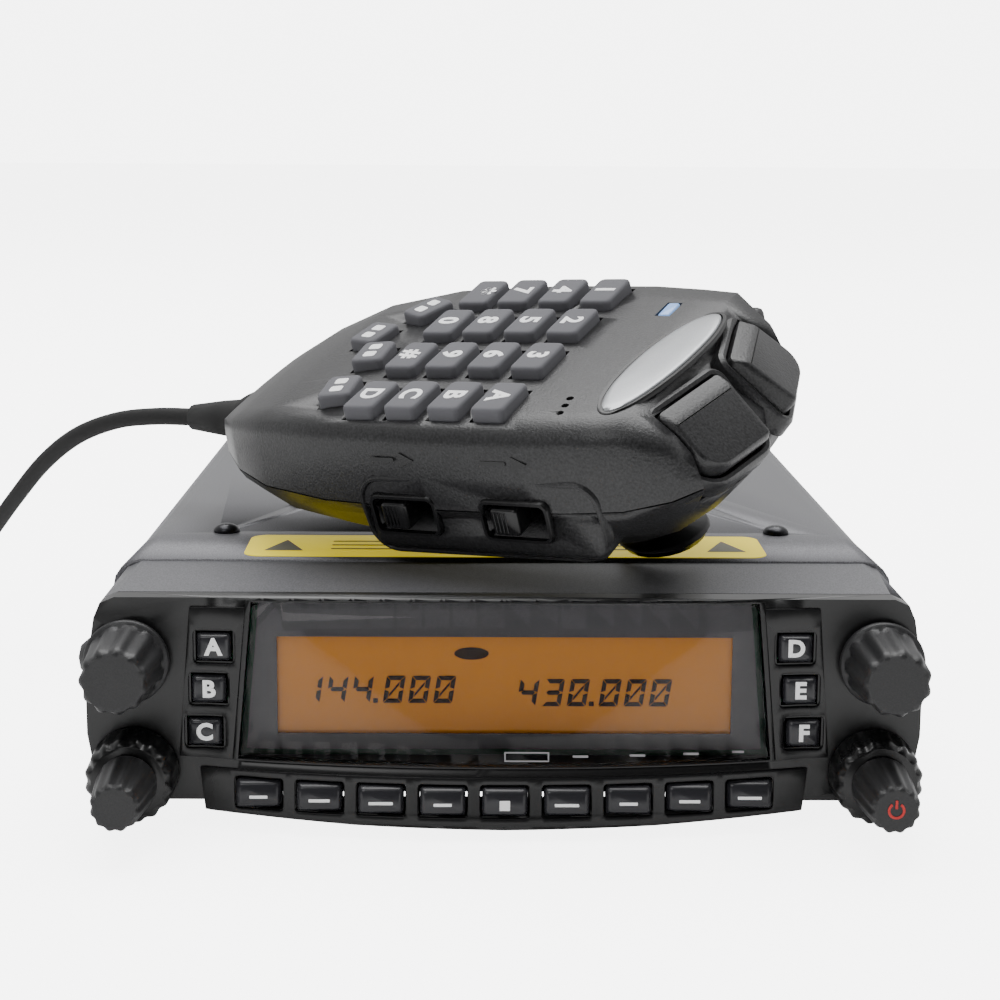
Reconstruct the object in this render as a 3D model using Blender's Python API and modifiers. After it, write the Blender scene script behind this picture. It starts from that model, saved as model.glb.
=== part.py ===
"""A mobile transceiver with a detachable control head, and its keypad handset lying on the top cover.

Units are metres and +Z is up. The origin is the middle of the bottom cover's flat face, the front
looks along -Y and +X is to the right of somebody facing the display.
"""

from math import atan2, cos, pi, radians, sin

import bmesh
import bpy
from mathutils import Matrix, Vector

MM = 0.001
GAP = 0.3 * MM

# Main unit
BODY_HALF_WIDTH = 68.8 * MM
BODY_TOP = 40.0 * MM
BODY_REAR_Y = 98.0 * MM
FIN_REAR_Y = 105.0 * MM
CREASE_Y = -33.0 * MM
JOINT_Y = -55.0 * MM
SPLIT_Z = 19.8 * MM
SHEET = 1.2 * MM
SHOULDER = 5.0 * MM
WALL = 3.0 * MM
# Place, X, Y and head radius of the screws on the right; the left ones mirror them
SCREWS = (("front", 52.4 * MM, -31.0 * MM, 2.5 * MM), ("rear", 40.6 * MM, -2.0 * MM, 2.25 * MM))
SCREW_HOLE = 1.6 * MM
HEAD_RISE = 1.5 * MM
BOSS_RADIUS = 3.4 * MM
SPEAKER_Y = 38.0 * MM
FAN_RADIUS, FAN_LENGTH, FAN_BLADES = 15.0 * MM, 9.0 * MM, 7
FAN_AXIS_Z = 20.0 * MM

# Sockets on the rear: X and Z of their middles
ANTENNA_X, ANTENNA_Z = 60.0 * MM, 26.0 * MM
POWER_X, POWER_Z = -60.0 * MM, 26.0 * MM
SPEAKER_JACK_X, SPEAKER_JACK_Z = -60.0 * MM, 11.0 * MM
POWER_SIZE = (11.4 * MM, 11.0 * MM)
POWER_MOUTH = (8.4 * MM, 7.4 * MM)

# Control head
HEAD_HALF_WIDTH = 69.8 * MM
HEAD_TOP_HALF_WIDTH = 68.2 * MM
HEAD_TOP = 39.4 * MM
HEAD_BOTTOM = 4.6 * MM
LIP_BOTTOM = 1.6 * MM
FACE_Y = -84.0 * MM
HEAD_SPLIT_Y = -80.0 * MM
BULGE = 7.0 * MM
BULGE_HALF_WIDTH = 50.0 * MM

# Window and display
WINDOW_TOP_HALF = 41.8 * MM
WINDOW_BOTTOM_HALF = 44.2 * MM
WINDOW_TOP_Z = 38.4 * MM
WINDOW_BOTTOM_Z = 12.4 * MM
WINDOW_THICK = 1.6 * MM
LCD_HALF_WIDTH = 38.5 * MM
LCD_BOTTOM_Z = 15.2 * MM
LCD_TOP_Z = 32.4 * MM

# Keys of the head
SIDE_KEYS = (("a", "d", 48.3, 31.2), ("b", "e", 49.2, 24.0), ("c", "f", 50.0, 16.6))
SIDE_KEY_SIZE = (5.6 * MM, 4.6 * MM)
LOWER_KEY_PITCH = 10.25 * MM
LOWER_KEY_Z = 6.5 * MM
LOWER_KEY_SIZE = (7.5 * MM, 4.6 * MM)
KEY_PROUD = 1.3 * MM
KEY_LENGTH = 3.6 * MM

# Knobs: X and Z of their axes
DIAL_X, DIAL_Z = 62.6 * MM, 28.9 * MM
VOLUME_X, VOLUME_Z = 61.9 * MM, 9.9 * MM
SHAFT_RADIUS = 2.0 * MM
POWER_SHAFT_RADIUS = 1.6 * MM
VOLUME_LENGTH = 20.8
SIDE_JACK_Y, SIDE_JACK_Z = -68.0 * MM, 25.0 * MM

# Handset: the middle of its keypad, its turn on the vertical and its two tilts
HANDSET_AT = Vector((-2.5, -46.7, 78.8)) * MM
HANDSET_TURN, HANDSET_RISE, HANDSET_LEAN = radians(-30.9), radians(-2.75), radians(21.05)
HANDSET_SEAM = -17.0 * MM
SHELL_WALL = 1.6 * MM
# x along the handset, half width, height of the face, height of the back
HANDSET_STATIONS = (
    (-57.0, 9.0, -12.5, -24.0),
    (-54.0, 15.5, -10.5, -27.0),
    (-47.0, 22.0, -7.4, -30.0),
    (-37.0, 27.5, -4.4, -32.4),
    (-22.0, 31.0, -2.6, -34.0),
    (0.0, 32.4, -2.2, -34.4),
    (20.0, 32.0, -2.2, -34.4),
    (30.0, 30.8, -2.4, -34.0),
    (37.0, 29.6, -2.6, -31.5),
    (44.0, 25.6, -7.5, -27.0),
    (50.0, 18.0, -14.0, -21.5),
)
# Section of each half, from its edge at the seam to its middle: part of the half width, part of the height
FACE_SECTION = ((1.0, 0.0), (0.975, 0.4), (0.94, 0.75), (0.9, 0.93), (0.7, 0.965), (0.4, 0.99), (0.0, 1.0))
BACK_SECTION = ((1.0, 0.0), (0.95, 0.17), (0.79, 0.5), (0.6, 0.76), (0.42, 0.93), (0.25, 0.985), (0.0, 1.0))
# The housing of the slide switches, low on the near side
HOUSING = ((-13.5 * MM, -31.4 * MM, -26.6 * MM), (33.0 * MM, -19.0 * MM, -17.15 * MM))
KEYPAD_COLUMNS = (12.7, 3.9, -4.9, -13.5)
KEYPAD_ROWS = (21.8, 7.9, -6.2, -21.0)
KEYPAD_KEY = (6.4 * MM, 10.4 * MM)
# x, y and turn in degrees of the four programmable keys
KEYPAD_EXTRA = ((-22.1, 15.0, -25.0), (-28.6, 5.0, -10.0), (-22.9, -4.4, 8.0), (-22.0, -18.0, 12.0))

MICROPHONE_HOLES = (24.4 * MM, -17.6 * MM)
LENS_AT = (27.3 * MM, 17.6 * MM)
LENS_SIZE = (2.4 * MM, 5.4 * MM)
SWITCH_TRAVEL = 3.6
SWITCHES = (("lamp_switch", -4.5), ("lock_switch", 17.5))
SWITCH_Z = -18.6
BADGE_MIDDLE = (35.3 * MM, -2.9 * MM)
BADGE_HALF_LENGTH, BADGE_HALF_WIDTH, BADGE_LEAN = 18.4 * MM, 4.8 * MM, 0.12

# Microphone cord, which lies on the table to the left of the main unit
CORD_RADIUS = 1.8 * MM
COIL_RADIUS = 5.5 * MM
COIL_MIDDLE = (-168.0 * MM, 42.0 * MM)
COIL_HALF_X, COIL_HALF_Y = 38.0 * MM, 62.0 * MM
COIL_HEIGHT = 6.0 * MM
COIL_START, COIL_END = radians(58), radians(328)
PLUG_LENGTH, PLUG_WIDTH, PLUG_HEIGHT = 21.0 * MM, 11.6 * MM, 7.6 * MM
TAIL_ROUTE = [
    Vector(point) * MM
    for point in (
        (-62.1, -3.3, 58.1),
        (-70.5, 1.7, 57.5),
        (-79.5, 7.1, 55.8),
        (-89.0, 13.6, 51.6),
        (-98.0, 21.8, 44.4),
        (-107.0, 32.2, 34.4),
        (-116.2, 44.6, 23.6),
        (-125.6, 58.6, 14.6),
        (-133.8, 73.0, 8.8),
        (-140.6, 85.6, 6.5),
        (-147.5, 94.2, 6.0),
    )
]
PLUG_ROUTE = [
    Vector(point) * MM
    for point in (
        (-135.4, 9.7, 6.0),
        (-133.6, 16.0, 5.2),
        (-133.6, 23.8, 3.6),
        (-137.2, 31.2, 2.4),
        (-144.0, 36.6, 2.2),
        (-151.2, 40.8, 2.4),
        (-157.4, 45.6, 3.4),
        (-163.0, 51.0, 3.9),
    )
]


def clear_scene():
    """Removes whatever the file started with."""
    for obj in list(bpy.data.objects):
        bpy.data.objects.remove(obj, do_unlink=True)


def new_collection(name):
    collection = bpy.data.collections.new(name)
    bpy.context.scene.collection.children.link(collection)
    return collection


def material(name, colour, roughness, metallic=0.0):
    made = bpy.data.materials.new(name)
    made.use_nodes = True
    shader = made.node_tree.nodes["Principled BSDF"]
    shader.inputs["Base Color"].default_value = (*colour, 1.0)
    shader.inputs["Roughness"].default_value = roughness
    shader.inputs["Metallic"].default_value = metallic
    return made


clear_scene()
PARTS = new_collection("mobile_transceiver")
CUTTERS = new_collection("cutters")
GREY_PAINT = material("grey_paint", (0.16, 0.16, 0.17), 0.5, 0.3)
BLACK_PLASTIC = material("black_plastic", (0.02, 0.02, 0.022), 0.5)
BLACK_RUBBER = material("black_rubber", (0.012, 0.012, 0.013), 0.7)
BARE_ALUMINIUM = material("bare_aluminium", (0.55, 0.56, 0.58), 0.4, 0.9)
STEEL = material("steel", (0.5, 0.5, 0.52), 0.3, 1.0)
BLACK_STEEL = material("black_steel", (0.05, 0.05, 0.055), 0.35, 0.9)
BOARD_GREEN = material("board_green", (0.02, 0.16, 0.07), 0.5)
SMOKED_WINDOW = material("smoked_window", (0.03, 0.03, 0.035), 0.08)
AMBER_GLASS = material("amber_glass", (0.9, 0.45, 0.02), 0.3)
BLUE_LENS = material("blue_lens", (0.25, 0.45, 0.85), 0.2)
SILVER_PLATE = material("silver_plate", (0.6, 0.61, 0.62), 0.3, 0.9)
PAPER_CONE = material("paper_cone", (0.05, 0.05, 0.05), 0.8)


# Tools


def add_object(name, mesh, finish=None, parent=None):
    """Makes a part, or a cutter where no finish is given."""
    obj = bpy.data.objects.new(name, mesh)
    if finish is None:
        CUTTERS.objects.link(obj)
        obj.hide_render = True
        obj.display_type = "WIRE"
    else:
        PARTS.objects.link(obj)
        mesh.materials.append(finish)
    obj.parent = parent
    return obj


def mesh_from(name, shape):
    mesh = bpy.data.meshes.new(name)
    bmesh.ops.recalc_face_normals(shape, faces=shape.faces)
    shape.to_mesh(mesh)
    shape.free()
    return mesh


def add_block(shape, low, high, turn=None):
    """A box between two corners, added to a bmesh."""
    low, high = Vector(low), Vector(high)
    place = Matrix.Translation((low + high) / 2)
    if turn is not None:
        place = place @ turn
    size = Matrix.Diagonal((*(high - low), 1.0))
    return bmesh.ops.create_cube(shape, size=1.0, matrix=place @ size)["verts"]


def blocks(name, corners, finish=None, parent=None):
    """One object of boxes, each given by its two corners and an optional turn."""
    shape = bmesh.new()
    for corner in corners:
        add_block(shape, *corner)
    return add_object(name, mesh_from(name, shape), finish, parent)


def round_edges(obj, width, segments=2, angle=radians(40)):
    bevel = obj.modifiers.new("rounded_edges", "BEVEL")
    bevel.width = width
    bevel.segments = segments
    bevel.limit_method = "ANGLE"
    bevel.angle_limit = angle
    return obj


def cylinder(name, radius, start, end, finish=None, parent=None, sides=24):
    """A round bar between two points."""
    start, end = Vector(start), Vector(end)
    along = end - start
    shape = bmesh.new()
    place = Matrix.Translation((start + end) / 2) @ along.to_track_quat("Z", "Y").to_matrix().to_4x4()
    bmesh.ops.create_cone(
        shape,
        cap_ends=True,
        segments=sides,
        radius1=radius,
        radius2=radius,
        depth=along.length,
        matrix=place,
    )
    return add_object(name, mesh_from(name, shape), finish, parent)


def turned(name, profile, finish=None, parent=None, steps=24):
    """A profile of (radius, height) pairs, listed from its top down the outer side, turned about Z."""
    mesh = bpy.data.meshes.new(name)
    edges = [(i, i + 1) for i in range(len(profile) - 1)]
    mesh.from_pydata([(r, 0, z) for r, z in profile], edges, [])
    obj = add_object(name, mesh, finish, parent)
    screw = obj.modifiers.new("turned", "SCREW")
    screw.steps = steps
    screw.render_steps = steps
    screw.use_merge_vertices = True
    screw.merge_threshold = 1e-5
    screw.use_smooth_shade = True
    return obj


def ring_profile(pairs):
    """A closed profile in metres from (radius, height) pairs in millimetres."""
    return [(radius * MM, height * MM) for radius, height in (*pairs, pairs[0])]


def cut(obj, *cutters, operation="DIFFERENCE"):
    for cutter in cutters:
        boolean = obj.modifiers.new(cutter.name, "BOOLEAN")
        boolean.operation = operation
        boolean.object = cutter
    return obj


def loft(name, sections, closed, finish=None, parent=None):
    """A skin through sections of equal point counts. A closed loft has round sections and flat ends."""
    shape = bmesh.new()
    rings = [[shape.verts.new(point) for point in section] for section in sections]
    count = len(rings[0])
    for near, far in zip(rings, rings[1:]):
        for i in range(count if closed else count - 1):
            j = (i + 1) % count
            shape.faces.new((near[i], near[j], far[j], far[i]))
    if closed:
        shape.faces.new(rings[0])
        shape.faces.new(rings[-1])
        bmesh.ops.triangulate(shape, faces=shape.faces)
    return add_object(name, mesh_from(name, shape), finish, parent)


def thicken(obj, thickness, offset):
    solidify = obj.modifiers.new("wall", "SOLIDIFY")
    solidify.thickness = thickness
    solidify.offset = offset
    solidify.use_even_offset = True
    return obj


def facing_front(x, z, y=0.0):
    """Where a piece turned about Z goes, so that its Z points out of the front."""
    return Matrix.Translation((x, y, z)) @ Matrix.Rotation(pi / 2, 4, "X")


def sided(side):
    return "left" if side < 0 else "right"


# Main unit


def cover_section(y, half_width, top, base):
    """A cover's outline across the unit, from its left edge over the shoulders to its right edge."""
    arc = [radians(a) for a in (0, 22.5, 45, 67.5, 90)]
    up = 1 if top > base else -1
    corner_z = top - up * SHOULDER
    right = [(half_width - SHOULDER + SHOULDER * cos(a), y, corner_z + up * SHOULDER * sin(a)) for a in arc]
    left = [(-x, y_, z) for x, y_, z in right]
    return [(-half_width, y, base), *left, *reversed(right), (half_width, y, base)]


def make_covers():
    """The top cover flares a little from its crease to the joint; the bottom cover is flat."""
    stations = ((JOINT_Y, 69.9 * MM, BODY_TOP - 0.3 * MM), (CREASE_Y, BODY_HALF_WIDTH, BODY_TOP))
    stations += ((BODY_REAR_Y, BODY_HALF_WIDTH, BODY_TOP),)
    sections = [cover_section(y, half, top, SPLIT_Z + GAP) for y, half, top in stations]
    top_cover = thicken(loft("top_cover", sections, False, GREY_PAINT), SHEET, -1)
    sections = [cover_section(y, half, 0.0, SPLIT_Z) for y, half, _ in stations]
    thicken(loft("bottom_cover", sections, False, GREY_PAINT), SHEET, -1)
    slot_rows = [
        ((-24 * MM, y * MM, 30 * MM), (24 * MM, (y + 2) * MM, 45 * MM)) for y in range(20, 56, 5)
    ]
    cut(top_cover, blocks("speaker_slots_cutter", slot_rows))
    for place, x, y, head in SCREWS:
        for side in (-1, 1):
            make_screw(f"{sided(side)}_{place}_screw", side * x, y, head, top_cover)


def make_screw(name, x, y, head, cover):
    """A round-headed screw through the top cover into a boss of the chassis."""
    cut(cover, cylinder(f"{name}_cutter", SCREW_HOLE, (x, y, 30 * MM), (x, y, 45 * MM), sides=12))
    stem, depth = 1.3 * MM, 2.8 * MM
    profile = ((0, HEAD_RISE), (head * 0.6, HEAD_RISE * 0.85), (head, HEAD_RISE * 0.35), (head, 0))
    profile += ((stem, 0), (stem, -depth), (0, -depth))
    screw = turned(name, profile, BLACK_STEEL, steps=12)
    screw.location = (x, y, BODY_TOP + GAP)


def make_chassis():
    """A die-cast tray with cooling fins across its rear and a round tunnel for the fan."""
    inner = BODY_HALF_WIDTH - SHEET - GAP
    low, high = SHEET + GAP, BODY_TOP - SHEET - GAP
    middle = (low + high) / 2
    outline = cover_section(0, inner, high, middle)[1:-1] + cover_section(0, inner, low, middle)[-2:0:-1]
    sections = [[(x, y, z) for x, _, z in outline] for y in (JOINT_Y + GAP, FIN_REAR_Y)]
    chassis = loft("chassis", sections, True, BARE_ALUMINIUM)
    pocket = blocks(
        "tray_cutter",
        [((-inner + WALL, JOINT_Y + WALL, 10 * MM), (inner - WALL, BODY_REAR_Y - 8 * MM, 60 * MM))],
    )
    fins = []
    for side in (-1, 1):
        for i in range(7):
            x = side * (21 + 5.2 * i) * MM
            fins.append(((x - 1.4 * MM, BODY_REAR_Y - 3 * MM, -5 * MM), (x + 1.4 * MM, 120 * MM, 50 * MM)))
    fin_slots = blocks("fin_slots_cutter", fins)
    behind, before = BODY_REAR_Y + 22 * MM, BODY_REAR_Y - 18 * MM
    tunnel = cylinder(
        "fan_tunnel_cutter", FAN_RADIUS + MM, (0, before, FAN_AXIS_Z), (0, behind, FAN_AXIS_Z), sides=32
    )
    front_door = blocks(
        "head_plug_cutter", [((-12 * MM, -60 * MM, 18 * MM), (12 * MM, -50 * MM, 30 * MM))]
    )
    holes = [
        cylinder(
            "antenna_hole_cutter", 6.3 * MM, (ANTENNA_X, before, ANTENNA_Z), (ANTENNA_X, behind, ANTENNA_Z)
        ),
        blocks("power_hole_cutter", [power_box(GAP, before, behind)]),
        cylinder(
            "jack_hole_cutter",
            4.3 * MM,
            (SPEAKER_JACK_X, before, SPEAKER_JACK_Z),
            (SPEAKER_JACK_X, behind, SPEAKER_JACK_Z),
        ),
    ]
    cut(chassis, pocket, fin_slots, tunnel, front_door, *holes)
    for name, x, y in screw_places():
        boss = cylinder(f"{name}_boss", BOSS_RADIUS, (x, y, 9 * MM), (x, y, high), sides=12)
        bore = cylinder(f"{name}_bore", SCREW_HOLE + 0.2 * MM, (x, y, 30 * MM), (x, y, 50 * MM), sides=12)
        cut(chassis, boss, operation="UNION")
        cut(chassis, bore)


def screw_places():
    """Name, X and Y of the four screws."""
    return [(f"{sided(side)}_{place}", side * x, y) for place, x, y, _ in SCREWS for side in (-1, 1)]


def power_box(grow, front_y, rear_y, size=POWER_SIZE):
    """Corners of a block round the power inlet's middle."""
    half, rise = size[0] / 2 + grow, size[1] / 2 + grow
    return (POWER_X - half, front_y, POWER_Z - rise), (POWER_X + half, rear_y, POWER_Z + rise)


def make_inside():
    """Board with its shield cans, and the loudspeaker under its slots."""
    plate = (-58 * MM, -46 * MM, 12 * MM), (58 * MM, 84 * MM, 13.6 * MM)
    board = blocks("main_board", [plate], BOARD_GREEN)
    modules = [
        ((-50, -25, 38, 30), (20, -20, 30, 26)),
        ((-50, 36, 30, 26), (22, 20, 34, 22)),
        ((-8, 50, 24, 20), (-10, -30, 16, 12)),
    ]
    cans = []
    for pair in modules:
        for x, y, length, width in pair:
            cans.append(((x * MM, y * MM, 13 * MM), ((x + width) * MM, (y + length) * MM, 18.5 * MM)))
    shields = blocks("shield_cans", cans)
    holes = [
        cylinder(f"{name}_board_hole", BOSS_RADIUS + 0.8 * MM, (x, y, 5 * MM), (x, y, 25 * MM), sides=12)
        for name, x, y in screw_places()
    ]
    cut(board, shields, operation="UNION")
    cut(board, *holes)
    profile = ((0, -9), (6, -9.5), (8, -6), (23.5, -0.6), (25, 0), (27, 0), (27, -1.2), (24.5, -1.6))
    profile += ((13, -9), (11, -11), (11, -17), (0, -17))
    speaker = turned("loudspeaker", [(r * MM, z * MM) for r, z in profile], PAPER_CONE, steps=28)
    speaker.location = (0, SPEAKER_Y, BODY_TOP - SHEET - GAP)


def make_fan():
    """A hub with tilted blades, in the chassis's tunnel."""
    hub = 5 * MM
    profile = [(0, FAN_LENGTH), (hub, FAN_LENGTH), (hub, 0), (0, 0)]
    fan = turned("fan_impeller", profile, BLACK_PLASTIC, steps=16)
    blade = Matrix.Diagonal((FAN_RADIUS - hub + MM, 8 * MM, 1.2 * MM, 1))
    place = Matrix.Translation(((FAN_RADIUS + hub - MM) / 2, 0, FAN_LENGTH / 2))
    shape = bmesh.new()
    for i in range(FAN_BLADES):
        pitch = Matrix.Rotation(radians(38), 4, "X")
        turn = Matrix.Rotation(2 * pi * i / FAN_BLADES, 4, "Z") @ place @ pitch
        bmesh.ops.create_cube(shape, size=1.0, matrix=turn @ blade)
    blades = add_object("fan_blades", mesh_from("fan_blades", shape), None, fan)
    cut(fan, blades, operation="UNION")
    fan.matrix_world = facing_front(0, FAN_AXIS_Z, FIN_REAR_Y - 1.5 * MM)


def facing_rear(x, y, z):
    """Where a piece turned about Z goes, so that its Z points out of the rear."""
    return Matrix.Translation((x, y, z)) @ Matrix.Rotation(-pi / 2, 4, "X")


def make_sockets():
    """Antenna socket, power inlet and speaker jack on the rear."""
    profile = ((4.2, 11), (7.6, 11), (7.6, 3.6), (9.0, 3.6), (9.0, 1.8), (5.9, 1.8), (5.9, -6), (0, -6))
    antenna = turned("antenna_socket", ring_profile((*profile, (0, 3), (4.2, 3))), STEEL, steps=24)
    antenna.matrix_world = facing_rear(ANTENNA_X, FIN_REAR_Y - 1.5 * MM, ANTENNA_Z)
    inlet = blocks("power_inlet", [power_box(0, 92 * MM, FIN_REAR_Y + 5 * MM)], BLACK_PLASTIC)
    mouth = power_box(0, FIN_REAR_Y - 4 * MM, FIN_REAR_Y + 20 * MM, POWER_MOUTH)
    cut(inlet, blocks("power_inlet_cutter", [mouth]))
    profile = ((1.9, 8), (4.0, 8), (4.0, 0), (0, 0), (0, 1), (1.9, 1))
    jack = turned("speaker_jack", ring_profile(profile), BLACK_PLASTIC, steps=16)
    jack.matrix_world = facing_rear(SPEAKER_JACK_X, FIN_REAR_Y - 6 * MM, SPEAKER_JACK_Z)


# Control head


def bulge_at(x, z):
    """How far the face stands forward of its flat sides: more towards the bottom, least at the ends."""
    across = max(0.0, 1 - (x / BULGE_HALF_WIDTH) ** 2)
    down = min(1.0, max(0.0, (HEAD_TOP - z) / (HEAD_TOP - LIP_BOTTOM))) ** 0.8
    return BULGE * across * (0.06 + 0.94 * down)


def face_y(x, z):
    return FACE_Y - bulge_at(x, z)


def bulged(name, low, high, rise, back_y, finish=None, divisions=(28, 8)):
    """A block whose front follows the face, standing out by rise, with a flat or following back."""
    shape = bmesh.new()
    (x0, z0), (x1, z1) = low, high
    columns, rows = divisions
    fronts, backs = [], []
    for i in range(columns + 1):
        x = x0 + (x1 - x0) * i / columns
        heights = [z0 + (z1 - z0) * j / rows for j in range(rows + 1)]
        fronts.append([shape.verts.new((x, face_y(x, z) - rise, z)) for z in heights])
        backs.append([shape.verts.new((x, back_y(x, z), z)) for z in heights])
    for i in range(columns):
        for j in range(rows):
            for grid in (fronts, backs):
                shape.faces.new((grid[i][j], grid[i + 1][j], grid[i + 1][j + 1], grid[i][j + 1]))
        for j in (0, rows):
            shape.faces.new((fronts[i][j], fronts[i + 1][j], backs[i + 1][j], backs[i][j]))
    for i in (0, columns):
        for j in range(rows):
            shape.faces.new((fronts[i][j], fronts[i][j + 1], backs[i][j + 1], backs[i][j]))
    bmesh.ops.triangulate(shape, faces=shape.faces)
    return add_object(name, mesh_from(name, shape), finish)


def head_outline(inset=0.0):
    """The head's outline across the unit, from the top left corner round to the bottom left."""
    top, bottom = HEAD_TOP - inset, HEAD_BOTTOM + inset
    wide, narrow = HEAD_HALF_WIDTH - inset, HEAD_TOP_HALF_WIDTH - inset
    corner = 3.5 * MM
    right = [(narrow - corner, top), (narrow - corner * 0.3, top - corner * 0.3), (narrow, top - corner)]
    right += [(wide, 26 * MM), (wide, 16 * MM), (wide - 1.2 * MM, 9 * MM), (wide - 7 * MM, bottom)]
    left = [(-x, z) for x, z in reversed(right)]
    return right + left


def make_head_shells():
    """A painted rear shell, and a black front shell that holds the window, keys and knobs."""
    sections = [[(x, y, z) for x, z in head_outline()] for y in (JOINT_Y - GAP, HEAD_SPLIT_Y + GAP)]
    rear = loft("head_rear_shell", sections, True, GREY_PAINT)
    inside = head_outline(2 * MM)
    ends = [[(x, y, z) for x, z in inside] for y in (-57.5 * MM, -90 * MM)]
    hollow = loft("head_rear_cutter", ends, True)
    outer, inner = (-90 * MM, SIDE_JACK_Y, SIDE_JACK_Z), (-60 * MM, SIDE_JACK_Y, SIDE_JACK_Z)
    jack = cylinder("side_jack_cutter", 3.3 * MM, outer, inner)
    cut(rear, hollow, jack)
    make_front_shell()


def make_front_shell():
    """A shell whose face bulges forward towards its lower lip."""
    front = bulged(
        "head_front_shell",
        (-75 * MM, 0),
        (75 * MM, 45 * MM),
        0,
        lambda x, z: HEAD_SPLIT_Y,
        BLACK_PLASTIC,
        (30, 9),
    )
    lip = [(50.2 * MM, HEAD_BOTTOM), (49.6 * MM, 2.8 * MM), (25 * MM, 1.9 * MM), (0, LIP_BOTTOM)]
    lip += [(-x, z) for x, z in reversed(lip[:-1])]
    outline = head_outline()[:7] + lip + head_outline()[7:]
    ends = [[(x, y, z) for x, z in outline] for y in (-70 * MM, -110 * MM)]
    trim = loft("head_outline_cutter", ends, True)
    cut(front, trim, operation="INTERSECT")
    rim = 0.4 * MM
    window_hole = [
        (WINDOW_TOP_HALF + rim, WINDOW_TOP_Z + rim),
        (WINDOW_BOTTOM_HALF + rim, WINDOW_BOTTOM_Z - rim),
        (-WINDOW_BOTTOM_HALF - rim, WINDOW_BOTTOM_Z - rim),
        (-WINDOW_TOP_HALF - rim, WINDOW_TOP_Z + rim),
    ]
    ends = [[(x, y, z) for x, z in window_hole] for y in (-60 * MM, -120 * MM)]
    window = loft("window_cutter", ends, True)
    rear_pocket = loft(
        "front_shell_cutter",
        [[(x, y, z) for x, z in head_outline(2.4 * MM)] for y in (-60 * MM, FACE_Y + 2 * MM)],
        True,
    )
    cut(front, rear_pocket, window)
    cut(front, *key_openings())
    for side in (-1, 1):
        for name, x, z, radius in (("dial", DIAL_X, DIAL_Z, 3.0), ("volume", VOLUME_X, VOLUME_Z, 3.6)):
            hole = cylinder(
                f"{sided(side)}_{name}_hole", radius * MM, (side * x, -60 * MM, z), (side * x, -120 * MM, z)
            )
            cut(front, hole)


def key_places():
    """Name, X, Z and size of every key of the head."""
    places = []
    for left, right, x, z in SIDE_KEYS:
        places.append((f"key_{left}", -x * MM, z * MM, SIDE_KEY_SIZE))
        places.append((f"key_{right}", x * MM, z * MM, SIDE_KEY_SIZE))
    for i in range(9):
        places.append((f"lower_key_{i + 1}", (i - 4) * LOWER_KEY_PITCH, LOWER_KEY_Z, LOWER_KEY_SIZE))
    return places


def key_openings():
    """Cutters for the keys, in two groups because neighbouring openings stay apart."""
    holes = []
    for _, x, z, (width, height) in key_places():
        half, rise = width / 2 + GAP, height / 2 + GAP
        holes.append(((x - half, -110 * MM, z - rise), (x + half, -70 * MM, z + rise)))
    return [blocks("side_key_openings", holes[:6]), blocks("lower_key_openings", holes[6:])]


def make_head_keys():
    """Fifteen separate keys, each square to the front at its own place."""
    for name, x, z, (width, height) in key_places():
        front_y = face_y(x, z) - KEY_PROUD
        key = blocks(
            name,
            [((-width / 2, 0, -height / 2), (width / 2, KEY_LENGTH, height / 2))],
            BLACK_PLASTIC,
        )
        round_edges(key, 0.5 * MM, 1)
        key.location = (x, front_y, z)


def make_display():
    """Window, display module and the head's board."""
    window = bulged(
        "display_window",
        (-46 * MM, WINDOW_BOTTOM_Z - MM),
        (46 * MM, WINDOW_TOP_Z + MM),
        -0.2 * MM,
        lambda x, z: face_y(x, z) + 0.2 * MM + WINDOW_THICK,
        SMOKED_WINDOW,
        (20, 5),
    )
    outline = [
        (WINDOW_TOP_HALF, WINDOW_TOP_Z),
        (WINDOW_BOTTOM_HALF, WINDOW_BOTTOM_Z),
        (-WINDOW_BOTTOM_HALF, WINDOW_BOTTOM_Z),
        (-WINDOW_TOP_HALF, WINDOW_TOP_Z),
    ]
    sections = [[(x, y, z) for x, z in outline] for y in (-60 * MM, -120 * MM)]
    trim = loft("window_outline_cutter", sections, True)
    cut(window, trim, operation="INTERSECT")
    blocks(
        "lcd_module",
        [((-LCD_HALF_WIDTH, -80.5 * MM, LCD_BOTTOM_Z), (LCD_HALF_WIDTH, -77.5 * MM, LCD_TOP_Z))],
        AMBER_GLASS,
    )
    plate = (-64 * MM, -75.6 * MM, 8 * MM), (64 * MM, -74 * MM, 36 * MM)
    board = blocks("head_board", [plate], BOARD_GREEN)
    plug = blocks("head_board_socket", [((-10 * MM, -74.5 * MM, 19 * MM), (10 * MM, -66 * MM, 29 * MM))])
    cut(board, plug, operation="UNION")


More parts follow.
